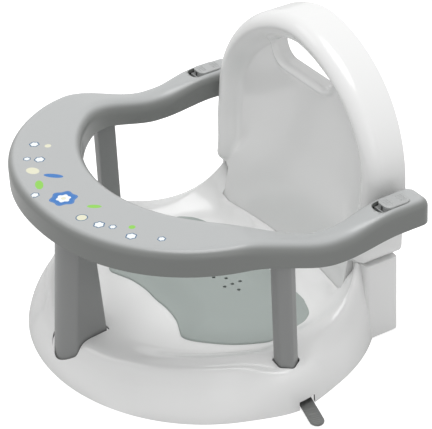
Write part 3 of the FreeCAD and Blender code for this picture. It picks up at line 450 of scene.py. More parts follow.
backrestSizes = {
    "archHalf": 118.4, "archBase": 148.1, "archRise": 101.6, "acrossPower": 1.72, "upPower": 1.9,
    "wingHalf": 113.6, "wingBottom": 72.3, "wingCorner": 11, "plugHalf": 93, "plugBottom": 41, "plugTop": 134,
    "plugSideY": 86, "plugMiddleY": 94, "frontLowY": 89.4, "sweep": 19.7, "sweepHeight": 116,
    "backY": 133, "backLean": 8, "round": 12.5, "panelDepth": 12.5, "borderFlat": 10, "borderSlope": 19,
    "holeHalf": 42, "holeBottom": 197, "holeTop": 225, "holeBackY": 127, "lip": 1.9, "lipRound": 4.2,
    "wall": 3, "chinHeight": 11, "chinDepth": 18, "count": 430,
}


def borderFront(height):
    # 89.4 + 19.7 (1 - exp(-(z - 83.3) / 116))
    sizes = backrestSizes
    rise = np.maximum(-20, height - sizes["wingBottom"] - 11)
    return sizes["frontLowY"] + sizes["sweep"] * (1 - np.exp(-rise / sizes["sweepHeight"]))


def archLine(sizes):
    # half outline from the wing's lower corner up to the top: straight, then a superellipse
    height = np.linspace(sizes["wingBottom"] + sizes["wingCorner"], sizes["archBase"], 30)[:-1]
    spread = sizes["archHalf"] - sizes["wingHalf"]
    side = np.column_stack([sizes["wingHalf"] + spread * ease((height - sizes["wingBottom"] - 12) / 38), height])
    turn = np.linspace(0, math.pi / 2, 90)
    arch = np.column_stack([sizes["archHalf"] * np.cos(turn) ** (2 / sizes["acrossPower"]),
                            sizes["archBase"] + sizes["archRise"] * np.sin(turn) ** (2 / sizes["upPower"])])
    return np.vstack([side, arch])


def holeLine(sizes):
    half, low, top = sizes["holeHalf"], sizes["holeBottom"], sizes["holeTop"]
    corner = 0.55 * (top - low)
    sag = top - low - corner
    bow = (half ** 2 + sag ** 2) / (2 * sag)
    bend = np.linspace(-math.pi / 2, 0, 24)
    right = np.column_stack([half - corner + corner * np.cos(bend), low + corner + corner * np.sin(bend)])
    over = np.linspace(half, 0, 30)[1:]
    crown = np.column_stack([over, top - bow + np.sqrt(bow ** 2 - over ** 2)])
    right = np.vstack([[[0, low]], right, crown])
    return np.vstack([right, right[-2:0:-1] * (-1, 1)])


def backrestPiece():
    # a ring of straight rows from the handle hole out to the outline; the front face's depth follows the
    # distance from the outline (round, flat crown, slope to the panel) and from the hole (rolled lip)
    sizes = backrestSizes
    half, low, corner = sizes["wingHalf"], sizes["wingBottom"], sizes["wingCorner"]
    bend = np.linspace(-math.pi / 2, 0, 8)
    foot = np.column_stack([half - corner + corner * np.cos(bend), low + corner + corner * np.sin(bend)])
    plug = [[0, sizes["plugBottom"]], [sizes["plugHalf"], sizes["plugBottom"]], [sizes["plugHalf"], low]]
    right = np.vstack([plug, foot, archLine(sizes)])
    outline = resampled(np.vstack([right, right[-2:0:-1] * (-1, 1)]), 3000)
    arch = archLine(sizes)
    arch = np.vstack([[[arch[0, 0], -100]], arch, arch[-2::-1] * (-1, 1), [[-arch[0, 0], -100]]])
    hole = resampled(holeLine(sizes), 500)
    centre = np.array([0, (sizes["holeBottom"] + sizes["holeTop"]) / 2])
    angles = np.arctan2(*(hole - centre).T[::-1])
    radii = np.linalg.norm(hole - centre, axis=1)
    order = np.argsort(angles)
    away = outline - centre
    inner = np.interp(np.arctan2(away[:, 1], away[:, 0]), angles[order], radii[order], period=2 * math.pi)
    rimSpots = centre + away / np.linalg.norm(away, axis=1)[:, None] * inner[:, None]
    steps = [np.linalg.norm(np.roll(line, -1, axis=0) - line, axis=1) for line in (outline, rimSpots)]
    places = np.r_[0, np.cumsum(steps[0] + 2.5 * steps[1])]  # rows crowd where the hole's edge is far from the outline
    chosen = np.interp(np.linspace(0, places[-1], sizes["count"], endpoint=False), places, np.arange(len(places)))
    chosen = chosen.astype(int) % len(outline)
    outline, away, inner = outline[chosen], away[chosen], inner[chosen]
    reach = np.linalg.norm(away, axis=1)
    near = np.array([0, .25, .7, 1.3, 2.1, 3.1, 4.2, 5.6, 7.2, 9, 11.5])
    turn = np.radians(np.arange(0, 91, 9))
    far = np.r_[sizes["round"] * (1 - np.cos(turn)), np.arange(14.5, 34, 2)][::-1]
    length = (reach - inner)[:, None]
    share = np.minimum(1, length / 56)
    middle = np.linspace(0, 1, 26)[None, 1:-1]
    first, last = near[-1] * share, length - far[0] * share
    distance = np.hstack([near * share, first + (last - first) * middle, length - far * share])
    ways = away / reach[:, None]
    across = centre[0] + ways[:, :1] * (inner[:, None] + distance)
    height = centre[1] + ways[:, 1:] * (inner[:, None] + distance)
    fromEdge = distanceTo(across, height, arch)
    fromHole = distanceTo(across, height, hole)
    front = borderFront(height) + roundDrop(fromEdge, sizes["round"])
    front += sizes["panelDepth"] * ease((fromEdge - sizes["borderFlat"]) / sizes["borderSlope"])
    chin = 1 - np.clip((height - low) / sizes["chinHeight"], 0, 1)
    chin *= ease((np.abs(across) - sizes["plugHalf"] + 1) / 5)
    front += sizes["chinDepth"] * (1 - np.sqrt(np.maximum(0, 1 - chin ** 2)))
    climb = np.clip((height - sizes["plugBottom"]) / (sizes["plugTop"] - sizes["plugBottom"]), 0, 1)
    bow = sizes["plugMiddleY"] - (sizes["plugMiddleY"] - sizes["plugSideY"]) * (across / sizes["plugHalf"]) ** 2
    slope = bow + (borderFront(sizes["plugTop"]) + sizes["panelDepth"] - 1.2 - bow) * climb
    panelEdge = sizes["plugHalf"] + 16 - 25 * ease((height - low) / 40)
    mask = ease((panelEdge - np.abs(across)) / 15) * ease((sizes["plugTop"] - height) / 48)
    front += (np.minimum(slope, front) - front) * mask
    lip = sizes["lip"] * np.exp(-((fromHole - 3.6) / 2.6) ** 2)
    front += roundDrop(fromHole, sizes["lipRound"]) - lip
    grid = np.stack([across, front, height], -1)
    tubeBack = np.minimum(sizes["holeBackY"], sizes["backY"])
    back = sizes["backY"] + sizes["backLean"] * ease((height - sizes["archBase"]) / sizes["archRise"])
    back = np.where(height < low + 0.01, 124.8, back)
    tube = np.repeat(grid[:, :1], 6, axis=1)
    tube[..., 1] += (tubeBack - tube[..., 1]) * np.linspace(1, 0, 7)[None, :-1]
    rim = np.repeat(grid[:, -1:], 9, axis=1)
    rim[..., 1] += (back[:, -1:] - rim[..., 1]) * np.array([.15, .3, .5, .7, .85, .93, .97, .99, 1])[None]
    points = np.concatenate([tube, grid, rim], axis=1)
    part = gridPart(points, (0, -1, 0), cell=(sizes["count"] // 2, 40), closedRows=True)
    return walled(meshPiece("backrest_shell", [part], sharp=50), sizes["wall"])


backrest = finished(backrestPiece(), materials["glossy_white"], "seat", "white_plastic", "backrest")
print("backrest made")

# Base: dome, bowl and the block under the wings

baseSizes = {
    "halfWidth": 156.5, "frontReach": 138, "rearReach": 152, "centreY": -2, "rimInset": 30, "rearRimInset": 14,
    "rimHeight": 41, "frontRim": 32.4, "frontRimAngle": -76, "rimClimb": 44, "chute": 0.35, "chuteAngle": -60,
    "chuteSpread": 8, "crestPower": 2.2, "flankHeight": 80, "flankStart": 18,
    "flankEnd": 46, "skirtFullness": 1.45, "bossFullness": 3, "bossReach": 5, "bossSpread": 11, "seatInset": 56,
    "rearSeatInset": 80, "steepness": 0.58, "steepAngle": 45, "seatHeight": 32.2, "backY": 128, "wall": 2.6,
    "blockHalf": 113.5, "blockBack": 130, "blockFront": 98, "blockHeight": 72, "blockRound": 5, "tabSlotHeight": 8,
    "tabSlotWidth": 15, "seamHeight": 41.5, "seamHalf": 88, "seamClimb": 2.1,
    "seamSoft": 1.5, "backAlong": (89.1, 98, 107), "backTop": (83, 75, 72),
    "socketGap": 1.0, "frontSocketGap": 1.5, "rows": 260,
}
postSizes = {
    "sideX": 146, "sideY": -1.5, "sideWidth": 16, "sideRidge": 6.2, "sideLength": 18, "sideLow": 12, "sideHigh": 142,
    "frontHigh": 151, "frontLow": 10, "topFront": -119.8, "lowFront": -133.5, "topBack": -99.2, "lowBack": -91.2,
    "frontHalf": 19, "backHalf": 14, "crown": 8,
}
cupPlaces = [("side_right", 106, 20.5, -14.3), ("side_left", -106, 20.5, 194.3),
             ("rear_right", 60, 94, 90), ("rear_left", -60, 94, 90)]


def sidePostOutline(grow, way):
    sizes = postSizes
    inner = sizes["sideX"] - sizes["sideWidth"] / 2 - grow
    outer = sizes["sideX"] + sizes["sideWidth"] / 2 + grow
    half = sizes["sideLength"] / 2 + grow
    shoulder, y = outer - sizes["sideRidge"], sizes["sideY"]
    corners = [(inner, y - half), (shoulder, y - half), (outer, y), (shoulder, y + half), (inner, y + half)]
    outline = roundedOutline(corners, 2.4)
    return outline if way > 0 else outline[::-1] * (-1, 1)


def frontPostOutline(grow, height):
    # the front is an arc through the two ridges and the crown; the rest is straight
    sizes = postSizes
    share = (height - sizes["frontLow"]) / (sizes["frontHigh"] - sizes["frontLow"])
    front = sizes["lowFront"] + share * (sizes["topFront"] - sizes["lowFront"]) - grow
    back = sizes["lowBack"] + share * (sizes["topBack"] - sizes["lowBack"]) + grow
    half, backHalf, crown = sizes["frontHalf"] + grow, sizes["backHalf"] + grow, sizes["crown"]
    across = np.linspace(-half, half, 15)
    arc = np.column_stack([across, front + crown * (across / half) ** 2])
    return roundedOutline(np.vstack([arc, [[backHalf, back], [-backHalf, back]]]), 2.2, 5)


def domeGrid(sizes):
    # rows round the seat, columns from the floor up the skirt, over the rim and down into the bowl; under
    # the backrest's lower panel the height levels off at the seam: z - (d - s (1 - exp(-d / s)))
    turn = np.linspace(0, 2 * math.pi, sizes["rows"], endpoint=False)[:, None]
    angle = np.degrees(np.arcsin(np.clip(np.sin(turn), -1, 1)))
    reach = np.where(np.sin(turn) > 0, sizes["rearReach"], sizes["frontReach"])
    rim = sizes["frontRim"] + (sizes["rimHeight"] - sizes["frontRim"]) * ease(
        (angle - sizes["frontRimAngle"]) / sizes["rimClimb"])
    share = np.clip((angle - sizes["flankStart"]) / (sizes["flankEnd"] - sizes["flankStart"]), 0, 1)
    crest = rim + (sizes["flankHeight"] - rim) * share ** 3
    bossAngle = math.degrees(math.asin((postSizes["sideY"] - sizes["centreY"]) / sizes["frontReach"]))
    boss = np.exp(-((angle - bossAngle) / sizes["bossSpread"]) ** 2)
    power = sizes["skirtFullness"] + sizes["bossFullness"] * boss
    inset = sizes["rimInset"] + (sizes["rearRimInset"] - sizes["rimInset"]) * ease((angle - 15) / 30)
    flat = sizes["seatInset"] + (sizes["rearSeatInset"] - sizes["seatInset"]) * ease((angle - 40) / 28)
    bend = 1 - sizes["steepness"] * np.exp(-((angle - sizes["steepAngle"]) / 22) ** 2)
    power = power - sizes["chute"] * np.exp(-((angle - sizes["chuteAngle"]) / sizes["chuteSpread"]) ** 2)
    climb = np.radians(90) * np.linspace(0, 1, 30)[None] ** 0.8
    power = power + (sizes["crestPower"] - power) * ease((climb - 0.75) / 0.8)
    outerIn = inset * (1 - np.cos(climb) ** (2 / power))
    outerUp = crest * np.sin(climb) ** (2 / power)
    down = np.linspace(0, 1, 34)[None, 1:]
    innerIn = inset + (flat - inset) * down
    innerUp = crest - (crest - sizes["seatHeight"]) * (1 - np.cos(math.pi * down ** bend)) / 2
    inward, upward = np.hstack([outerIn, innerIn]), np.hstack([outerUp, innerUp])
    x = (sizes["halfWidth"] + sizes["bossReach"] * boss - inward) * np.cos(turn)
    y = sizes["centreY"] + (reach - inward) * np.sin(turn)
    floor = np.linspace(1, 0, 7)[None, 1:]
    x, y = np.hstack([x, x[:, -1:] * floor]), np.hstack([y, y[:, -1:] * floor])
    z = np.hstack([upward, np.full((sizes["rows"], 6), sizes["seatHeight"])])
    y = np.minimum(y, sizes["backY"])
    limit = np.interp(y, sizes["backAlong"], sizes["backTop"])
    z = np.where(y > sizes["backAlong"][0], np.minimum(z, limit), z)
    plugSeam = sizes["seamHeight"] + sizes["seamClimb"] * np.maximum(0, np.abs(x) - sizes["seamHalf"])
    over = np.maximum(0, z - plugSeam)
    z -= (over - sizes["seamSoft"] * (1 - np.exp(-over / sizes["seamSoft"]))) * ease((y - 62) / 18)
    return np.stack([x, y, z], -1)


def plugPocket():
    # the room for the backrest's lower panel, with a bowed front
    across = np.linspace(-1, 1, 25) * (backrestSizes["plugHalf"] + 0.3)
    bow = backrestSizes["plugMiddleY"] - backrestSizes["plugSideY"]
    arc = backrestSizes["plugMiddleY"] - 0.3 - bow * (across / backrestSizes["plugHalf"]) ** 2
    outline = np.vstack([np.column_stack([across, arc]), [[across[-1], 125], [across[0], 125]]])
    return columnPart([atHeight(outline, z) for z in (backrestSizes["plugBottom"] - 1, 95)])


drainSizes = {"radius": 1.6, "stepX": 10, "stepY": 7.6, "clusters": [(-27, 21), (0, 13), (27, 21)]}


def drainHoles():
    # round columns in crosses of five, through the pad and the seat under it
    sizes = drainSizes
    turn = np.linspace(0, 2 * math.pi, 16, endpoint=False)
    ringLine = np.column_stack([np.cos(turn), np.sin(turn)]) * sizes["radius"]
    columns = []
    for x, y in sizes["clusters"]:
        for stepX, stepY in ((0, 0), (1, 0), (-1, 0), (0, 1), (0, -1)):
            outline = ringLine + (x + stepX * sizes["stepX"], y + stepY * sizes["stepY"])
            columns.append(columnPart([atHeight(outline, z) for z in (22, 50)]))
    return columns


def basePiece():
    sizes = baseSizes
    dome = gridPart(domeGrid(sizes), (0, 0, 1), cell=(10, 66), closedRows=True)
    base = walled(meshPiece("base_dome", [dome], sharp=40), sizes["wall"])
    cutters = []
    for way in (1, -1):
        outline = sidePostOutline(sizes["socketGap"], way)
        cutters.append(columnPart([atHeight(outline, height) for height in (postSizes["sideLow"], 90)]))
    heights = (postSizes["frontLow"], 90)
    cutters.append(columnPart([atHeight(frontPostOutline(sizes["frontSocketGap"], z), z) for z in heights]))
    cutters += [plugPocket()] + drainHoles()
    half = sizes["tabSlotWidth"] / 2
    for name, x, y, tilt in cupPlaces[:2]:
        along = np.array([math.cos(math.radians(tilt)), math.sin(math.radians(tilt))])
        side = np.array([-along[1], along[0]])
        box = np.array([(20, -half), (90, -half), (90, half), (20, half)])
        outline = np.array([x, y]) + box[:, :1] * along + box[:, 1:] * side
        cutters.append(columnPart([atHeight(outline, z) for z in (-3, sizes["tabSlotHeight"])]))
    return carved(base, cutters)


def blockPiece():
    # the straight part of the base below the wings: rounded plan, softened upper and lower edges
    sizes = baseSizes
    half, front, back = sizes["blockHalf"], sizes["blockFront"], sizes["blockBack"]
    levels = []
    for height, grow in ((0, -1.2), (1.2, 0), (sizes["blockHeight"] - 0.7, 0), (sizes["blockHeight"], -0.7)):
        corners = [(-half - grow, front), (half + grow, front), (half + grow, back + grow), (-half - grow, back + grow)]
        levels.append(atHeight(roundedOutline(corners, sizes["blockRound"]), height))
    return carved(meshPiece("rear_block", [columnPart(levels)]), [plugPocket()])


base = finished(basePiece(), materials["glossy_white"], "seat", "white_plastic", "base_shell")
finished(blockPiece(), materials["glossy_white"], "seat", "white_plastic", "base_shell")
print("base made")

# Guard ring with its tray

ringSizes = {
    "halfWidth": 155.5, "front": 140.9, "power": 2.13, "holeHalf": 128.3, "holeFront": 112.3, "holeCentreY": 34,
    "taper": 3.3, "end": 132.5, "corner": 9.5, "trayHeight": 162.3, "neckHeight": 141.3, "armHeight": 147,
    "trayBackY": -38, "neckFrontY": 45, "neckBackY": 50, "armLevelY": 102, "band": 21.5, "round": 7.5, "neckRound": 4.5,
    "wall": 2.6,
}
buttonSizes = {"x": 141, "y": 105, "half": 8, "far": 11.5, "corner": 5, "proud": 1, "travel": 6, "gap": 0.3,
               "gripHalf": 4.5, "gripStart": 4.5, "gripStep": 2.2, "gripHeight": 1.0, "top": 147}


def bandTop(along):
    # tray height, eased down to the neck and up again to the arms
    sizes = ringSizes
    drop = ease((along - sizes["trayBackY"]) / (sizes["neckFrontY"] - sizes["trayBackY"]))
    climb = ease((along - sizes["neckBackY"]) / (sizes["armLevelY"] - sizes["neckBackY"]))
    neck, arm = sizes["neckHeight"] - sizes["trayHeight"], sizes["armHeight"] - sizes["neckHeight"]
    return sizes["trayHeight"] + neck * drop + arm * climb


def shoulder(along):
    # radius of the ring's upper edge, larger where the tray narrows into the arms
    sizes = ringSizes
    return sizes["round"] + sizes["neckRound"] * ease((along + 60) / 50) * ease((88 - along) / 32)


def ringRows(sizes):
    # matching points of the outer and the inner curve, from the right arm's end round to the left one's
    stop = sizes["end"] - sizes["corner"]
    share = np.linspace(1, 0, 40)[:-1]
    along = sizes["holeCentreY"] + (stop - sizes["holeCentreY"]) * share
    outer = np.column_stack([np.full(39, sizes["halfWidth"]), stop * share])
    narrow = sizes["taper"] * ease((along - sizes["holeCentreY"]) / (sizes["end"] - sizes["holeCentreY"]))
    inner = np.column_stack([sizes["holeHalf"] - narrow, along])
    turn = np.linspace(0, math.pi, 181)
    across = np.abs(np.cos(turn)) ** (2 / sizes["power"]) * np.sign(np.cos(turn))
    outerBow = np.column_stack([sizes["halfWidth"] * across, -sizes["front"] * np.sin(turn) ** (2 / sizes["power"])])
    innerBow = np.column_stack([sizes["holeHalf"] * np.cos(turn),
                                sizes["holeCentreY"] - sizes["holeFront"] * np.sin(turn)])
    bend = np.radians(np.arange(90, 0, -10))[:, None]
    inward = sizes["corner"] * (1 - np.cos(bend))
    beyond = stop + sizes["corner"] * np.sin(bend)
    endOuter = np.hstack([sizes["halfWidth"] - inward, beyond])
    endInner = np.hstack([inner[:1, :1] + inward, beyond])
    outer, inner = np.vstack([endOuter, outer]), np.vstack([endInner, inner])
    outer = np.vstack([outer, outerBow, outer[::-1] * (-1, 1)])
    inner = np.vstack([inner, innerBow, inner[::-1] * (-1, 1)])
    return outer, inner


def buttonOutline(halfAcross, front, rear, corner):
    sizes = buttonSizes
    corners = [(sizes["x"] - halfAcross, front), (sizes["x"] + halfAcross, front),
               (sizes["x"] + halfAcross, rear), (sizes["x"] - halfAcross, rear)]
    return roundedOutline(corners, corner * 1.35, 9)


def ringPiece():
    # the top is a strip whose height drops with the distance from its own outline; the side hangs from it
    sizes = ringSizes
    outer, inner = ringRows(sizes)
    width = np.linalg.norm(inner - outer, axis=1)[:, None]
    edge = np.array([0, .1, .38, .85, 1.5, 2.4, 3.4, 4.6, 6, 7.5])
    scale = np.minimum(1, width / 18)
    middle = np.linspace(0, 1, 11)[None, 1:-1]
    places = np.hstack([edge * scale, edge[-1] * scale + (width - 2 * edge[-1] * scale) * middle,
                        width - edge[::-1] * scale])
    share = (places / width)[..., None]
    plan = outer[:, None] * (1 - share) + inner[:, None] * share
    perimeter = np.vstack([outer, plan[-1, 1:-1], inner[::-1], plan[0, -2:0:-1]])
    gap = distanceTo(plan[..., 0], plan[..., 1], perimeter)
    height = bandTop(plan[..., 1]) - roundDrop(gap, shoulder(plan[..., 1]))
    top = np.dstack([plan, height])
    edgeRound = shoulder(perimeter[:, 1])
    levels = np.array([0, 0.3, 0.6, 0.85, 1])[:, None] * (sizes["band"] - edgeRound)
    crest = bandTop(perimeter[:, 1]) - edgeRound
    side = np.dstack([np.repeat(perimeter[None, :, :1], 5, 0), np.repeat(perimeter[None, :, 1:], 5, 0),
                      (crest[None] - levels)[..., None]])
    # painted light and shade: 1 on the top face, painted lighter, falling to 0 over the rounded edge and on the side
    # band, painted darker
    paintedLightShare = np.r_[ease((gap.ravel() - 1.2) / 5), np.zeros(side.shape[0] * side.shape[1])]
    parts = [gridPart(top, (0, 0, 1), cell=(100, 15)), gridPart(side, (0, -1, 0), cell=(1, 138), closedColumns=True)]
    ring = walled(meshPiece("guard_ring_shell", parts, sharp=60, values=paintedLightShare), sizes["wall"])
    front = buttonSizes["y"] - buttonSizes["far"] - buttonSizes["travel"] - 0.7
    rear = buttonSizes["y"] + buttonSizes["far"] + buttonSizes["gap"]
    window = buttonOutline(buttonSizes["half"] + buttonSizes["gap"], front, rear, buttonSizes["corner"])
    cutters = []
    for outline in (window, window[::-1] * (-1, 1)):
        cutters.append(columnPart([atHeight(outline, z) for z in (137, 157)]))
    return carved(ring, cutters, sharp=50)


def buttonPiece(side, way):
    # a low cushion with three ribs at each end: rib height times exp(-((y - place) / 0.45)^2)
    sizes = buttonSizes
    outline = buttonOutline(sizes["half"], sizes["y"] - sizes["far"], sizes["y"] + sizes["far"], sizes["corner"])
    outline = resampled(outline, 132)
    centre = np.array([sizes["x"], sizes["y"]])
    share = np.r_[np.linspace(0, 0.9, 30), 0.93, 0.955, 0.975, 0.99, 1][None, :, None]
    plan = centre + (outline[:, None] - centre) * share
    gap = distanceTo(plan[..., 0], plan[..., 1], outline)
    height = sizes["top"] + sizes["proud"] + 0.45 - roundDrop(gap, 1.5)
    inside = ease((sizes["gripHalf"] - np.abs(plan[..., 0] - sizes["x"])) / 0.8)
    for number in range(3):
        place = sizes["gripStart"] + number * sizes["gripStep"]
        height += inside * sizes["gripHeight"] * np.exp(-((np.abs(plan[..., 1] - sizes["y"]) - place) / 0.5) ** 2)
    top = np.dstack([plan, height])
    skirt = np.stack([np.column_stack([outline, np.full(132, z)]) for z in (sizes["top"] + sizes["proud"] - 1.05,
                                                                          sizes["top"] - 4)], axis=1)
    points = np.concatenate([top, skirt], axis=1)
    points[..., 0] *= way
    part = gridPart(points, (0, 0, 1), cell=(0, 10), closedRows=True)
    piece = meshPiece("latch_button_" + side, [part], sharp=60)
    return finished(piece, materials["button_grey"], "latch_" + side, "grey_plastic")


finished(ringPiece(), materials["tray_grey"], "seat", "grey_plastic", "guard_ring")
for side, way in (("right", 1), ("left", -1)):
    buttonPiece(side, way)
print("guard ring made")

# Posts


def postPieces():
    for side, way in (("right", 1), ("left", -1)):
        outline = sidePostOutline(0, way)
        levels = [atHeight(outline, z) for z in np.linspace(postSizes["sideLow"], postSizes["sideHigh"], 8)]
        piece = meshPiece("side_post_column_" + side, [columnPart(levels)])
        finished(piece, materials["post_grey"], "seat", "post_plastic", "side_post_" + side)
    heights = np.linspace(postSizes["frontLow"], postSizes["frontHigh"], 10)
    piece = meshPiece("front_post_column", [columnPart([atHeight(frontPostOutline(0, z), z) for z in heights])])
    finished(piece, materials["post_grey"], "seat", "post_plastic", "front_post")


postPieces()
print("posts made")

# Seat pad

padSizes = {
    "outline": [(0, -38.5), (18, -37.9), (37, -40.4), (52, -46), (60, -48.4), (68, -45.4), (79, -36), (92.6, -21),
                (102.6, -4), (107.6, 10), (107.6, 34), (101.1, 45), (91.6, 55), (78.1, 60.4), (64, 63), (0, 64)],
    "low": 31, "edge": 4, "crown": 6.5, "reach": 107.6, "round": 1, "rise": 30, "centreY": -2, "count": 300,
    "bed": 30,
}


def smoothLoop(points, count):
    # a closed curve through the points: Catmull-Rom, 0.5 (2b + (c-a)t + (2a-5b+4c-d)t^2 + (3b-a-3c+d)t^3)
    points = np.array(points, float)
    a, b, c, d = (np.roll(points, shift, axis=0)[:, None] for shift in (1, 0, -1, -2))
    share = np.linspace(0, 1, 30, endpoint=False)[None, :, None]
    curve = 0.5 * (2 * b + (c - a) * share + (2 * a - 5 * b + 4 * c - d) * share ** 2
                   + (3 * b - a - 3 * c + d) * share ** 3)
    return resampled(curve.reshape(-1, 2), count)


def padPiece():
    # part of a large ball over the outline, flattened towards its rounded edge, with drain holes
    sizes = padSizes
    right = np.array(sizes["outline"], float)
    outline = smoothLoop(np.vstack([right, right[-2:0:-1] * (-1, 1)]), sizes["count"])
    centre = np.array([0, sizes["centreY"]])
    share = np.r_[np.linspace(0, 0.94, 34), 0.955, 0.968, 0.979, 0.988, 0.995, 1][None, :, None]
    plan = centre + (outline[:, None] - centre) * share
    ball = (sizes["reach"] ** 2 + sizes["crown"] ** 2) / (2 * sizes["crown"])
    gap = distanceTo(plan[..., 0], plan[..., 1], outline)
    cushion = sizes["crown"] - ball + np.sqrt(ball ** 2 - (plan ** 2).sum(-1))
    height = sizes["bed"] + sizes["edge"] + cushion * ease(gap / sizes["rise"]) - roundDrop(gap, sizes["round"])
    top = np.dstack([plan, height])
    bottom = top[:, ::-4].copy()
    bottom[..., 2] = sizes["low"]
    points = np.concatenate([top, bottom], axis=1)
    points[:, -1, :2] = centre
    part = gridPart(points, (0, 0, 1), cell=(0, 20), closedRows=True)
    pad = meshPiece("seat_pad_soft", [part], sharp=50)
    return carved(pad, drainHoles(), sharp=50)


pad = finished(padPiece(), materials["soft_pad"], "seat", "pad_rubber", "seat_pad")
print("seat pad made")

# Suction cups and their pull tabs

cupSizes = {"lip": 22, "top": 8, "height": 14, "neck": 5, "neckTop": 25, "wall": 1.6, "tabWidth": 12, "tabThick": 2,
            "tabLift": 0.5, "sideTip": 187.7, "rearTip": 140.9, "ribs": 2.4, "ribHeight": 0.45}


def cupPart(x, y):
    # a profile turned round the cup's axis: lip, bell, neck, and back along the hollow
    sizes = cupSizes
    rise = np.linspace(0, 1, 14)
    bell = np.column_stack([sizes["top"] + (sizes["lip"] - sizes["top"]) * (1 - rise) ** 0.8,
                            rise ** 1.15 * sizes["height"]])
    hollow = bell[::-1] - (sizes["wall"], sizes["wall"])
    hollow[:, 0] = np.maximum(hollow[:, 0], 0)
    hollow[:, 1] = np.maximum(hollow[:, 1], 0)
    neck = [(sizes["neck"], sizes["height"] + 1), (sizes["neck"], sizes["neckTop"] - 0.6),
            (sizes["neck"] - 0.6, sizes["neckTop"]), (0, sizes["neckTop"])]
    profile = np.vstack([[(0, sizes["height"] - sizes["wall"])], hollow, bell, neck])
    turn = np.linspace(0, 2 * math.pi, 48, endpoint=False)[:, None]
    points = np.stack([x + profile[None, :, 0] * np.cos(turn), y + profile[None, :, 0] * np.sin(turn),
                       np.repeat(profile[None, :, 1], 48, 0)], -1)
    return gridPart(points, (1, 0, 0.5), cell=(0, 20), closedRows=True)


def tabPart(x, y, tip, tilt):
    # a flat strip with a round end; cross ribs 0.45 (1 + cos(2 pi s / 2.4)) / 2 on its outer part
    sizes = cupSizes
    angle = math.radians(tilt)
    length = (tip - (x if abs(tilt) < 45 else y)) / (math.cos(angle) if abs(tilt) < 45 else 1)
    half = sizes["tabWidth"] / 2
    place = np.r_[np.linspace(19, length - half, 70)[:-1],
                  length - half + half * np.sin(np.linspace(0, math.pi / 2, 14))]
    spread = np.sqrt(np.maximum(half ** 2 - np.maximum(place - (length - half), 0) ** 2, 0.0004))
    around = np.linspace(0, 2 * math.pi, 28, endpoint=False)
    side = np.sign(np.cos(around)) * np.abs(np.cos(around)) ** 0.28
    lift = np.sign(np.sin(around)) * np.abs(np.sin(around)) ** 0.5
    rib = sizes["ribHeight"] * (1 + np.cos(2 * math.pi * place / sizes["ribs"])) / 2
    rib *= ease((place - length + 26) / 4) * ease((length - place) / 4)
    across = spread[:, None] * side[None]
    height = sizes["tabLift"] + sizes["tabThick"] / 2 * (1 + lift[None]) + rib[:, None] * (lift[None] > 0.6)
    along = np.repeat(place[:, None], 28, 1)
    points = np.stack([x + along * math.cos(angle) - across * math.sin(angle),
                       y + along * math.sin(angle) + across * math.cos(angle), height], -1)
    spots, faces = gridPart(points, (0, 0, 1), cell=(20, 6), closedColumns=True)
    return spots, faces


for name, x, y, tilt in cupPlaces:
    if name.startswith("side"):
        spots, faces = tabPart(106, 20.5, cupSizes["sideTip"], -14.3)
        if x < 0:
            spots, faces = spots * (-1, 1, 1), [face[::-1] for face in faces]
    else:
        spots, faces = tabPart(x, y, cupSizes["rearTip"], 90)
    piece = meshPiece("cup_and_tab_" + name, [cupPart(x, y), (spots, faces)])
    finished(piece, materials["cup_rubber"], "seat", "cup_rubber", "suction_cup_" + name)
print("suction cups made")

# CAD nodes that stay get their finishes

nodeFinishes = {"latch_slider": "button_grey", "latch_spring": "screw_steel", "latch_cover": "post_grey",
                "cover_screw": "screw_steel"}
for name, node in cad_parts.items():
    for word, finish in nodeFinishes.items():
        if name.startswith(word):
            node.data.materials.clear()
            node.data.materials.append(materials[finish])

# Light, floor and background. Powers in watts, places in metres.

lampSettings = [  # name, place, size, power
    ("key_lamp", (-1.4, -1.3, 1.7), 1.1, 3),
    ("top_lamp", (0.15, 0.1, 3.4), 2.4, 54),
    ("side_lamp", (1.9, -0.5, 1.2), 1.4, 3),
]
backdropSettings = {"ambient": 0.63, "floorColour": (0.72, 0.72, 0.72, 1), "floorGlow": 0.62, "floorSize": 6}


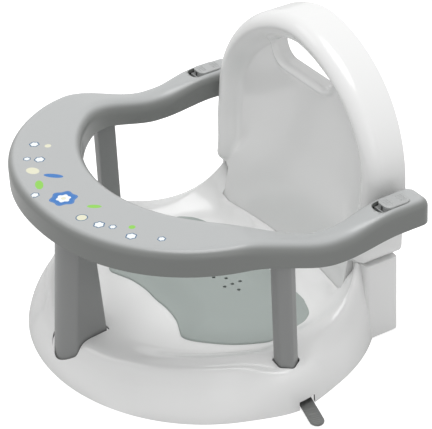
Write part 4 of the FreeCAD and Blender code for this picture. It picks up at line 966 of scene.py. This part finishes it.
def lampsAndRoom():
    for name, place, size, power in lampSettings:
        data = bpy.data.lights.new(name, "AREA")
        data.shape, data.size, data.energy = "DISK", size, power
        lamp = bpy.data.objects.new(name, data)
        way = np.array([0, 0, 0.08]) - np.array(place)
        lamp.rotation_mode = "QUATERNION"
        lamp.rotation_quaternion = Vector(way).to_track_quat("-Z", "Y")
        lamp.location = place
        bpy.context.scene.collection.objects.link(lamp)
    world = bpy.data.worlds.new("pale_room")
    bpy.context.scene.world = world
    world.use_nodes = True
    tree = world.node_tree
    back = tree.nodes["Background"]
    path = addNode(tree, "LightPath")
    seen = mathNode(tree, "MAXIMUM", path.outputs["Is Camera Ray"], path.outputs["Is Glossy Ray"])
    seen = mathNode(tree, "MAXIMUM", seen, path.outputs["Is Transmission Ray"])
    extra = mathNode(tree, "MULTIPLY", seen, 1 - backdropSettings["ambient"])
    wire(tree, back.inputs["Strength"], mathNode(tree, "ADD", extra, backdropSettings["ambient"]))
    back.inputs["Color"].default_value = (1, 1, 1, 1)


def paleFloor():
    half = backdropSettings["floorSize"] / 2
    mesh = bpy.data.meshes.new("pale_floor")
    mesh.from_pydata([(-half, -half, 0), (half, -half, 0), (half, half, 0), (-half, half, 0)], [], [(0, 1, 2, 3)])
    floor = bpy.data.objects.new("pale_floor", mesh)
    bpy.context.scene.collection.objects.link(floor)
    material = bpy.data.materials.new("pale_floor")
    material.use_nodes = True
    tree = material.node_tree
    shader, end = tree.nodes["Principled BSDF"], tree.nodes["Material Output"]
    shader.inputs["Base Color"].default_value = backdropSettings["floorColour"]
    shader.inputs["Roughness"].default_value = 0.9
    shader.inputs["Specular IOR Level"].default_value = 0.1
    path = addNode(tree, "LightPath")
    glow = addNode(tree, "Emission")
    wire(tree, glow.inputs["Strength"], mathNode(tree, "MULTIPLY", path.outputs["Is Camera Ray"],
                                                 backdropSettings["floorGlow"]))
    both = addNode(tree, "AddShader")
    tree.links.new(shader.outputs[0], both.inputs[0])
    tree.links.new(glow.outputs[0], both.inputs[1])
    tree.links.new(both.outputs[0], end.inputs["Surface"])
    mesh.materials.append(material)


lampsAndRoom()
paleFloor()
bpy.context.scene.view_settings.view_transform = "Standard"
print("light and floor made")
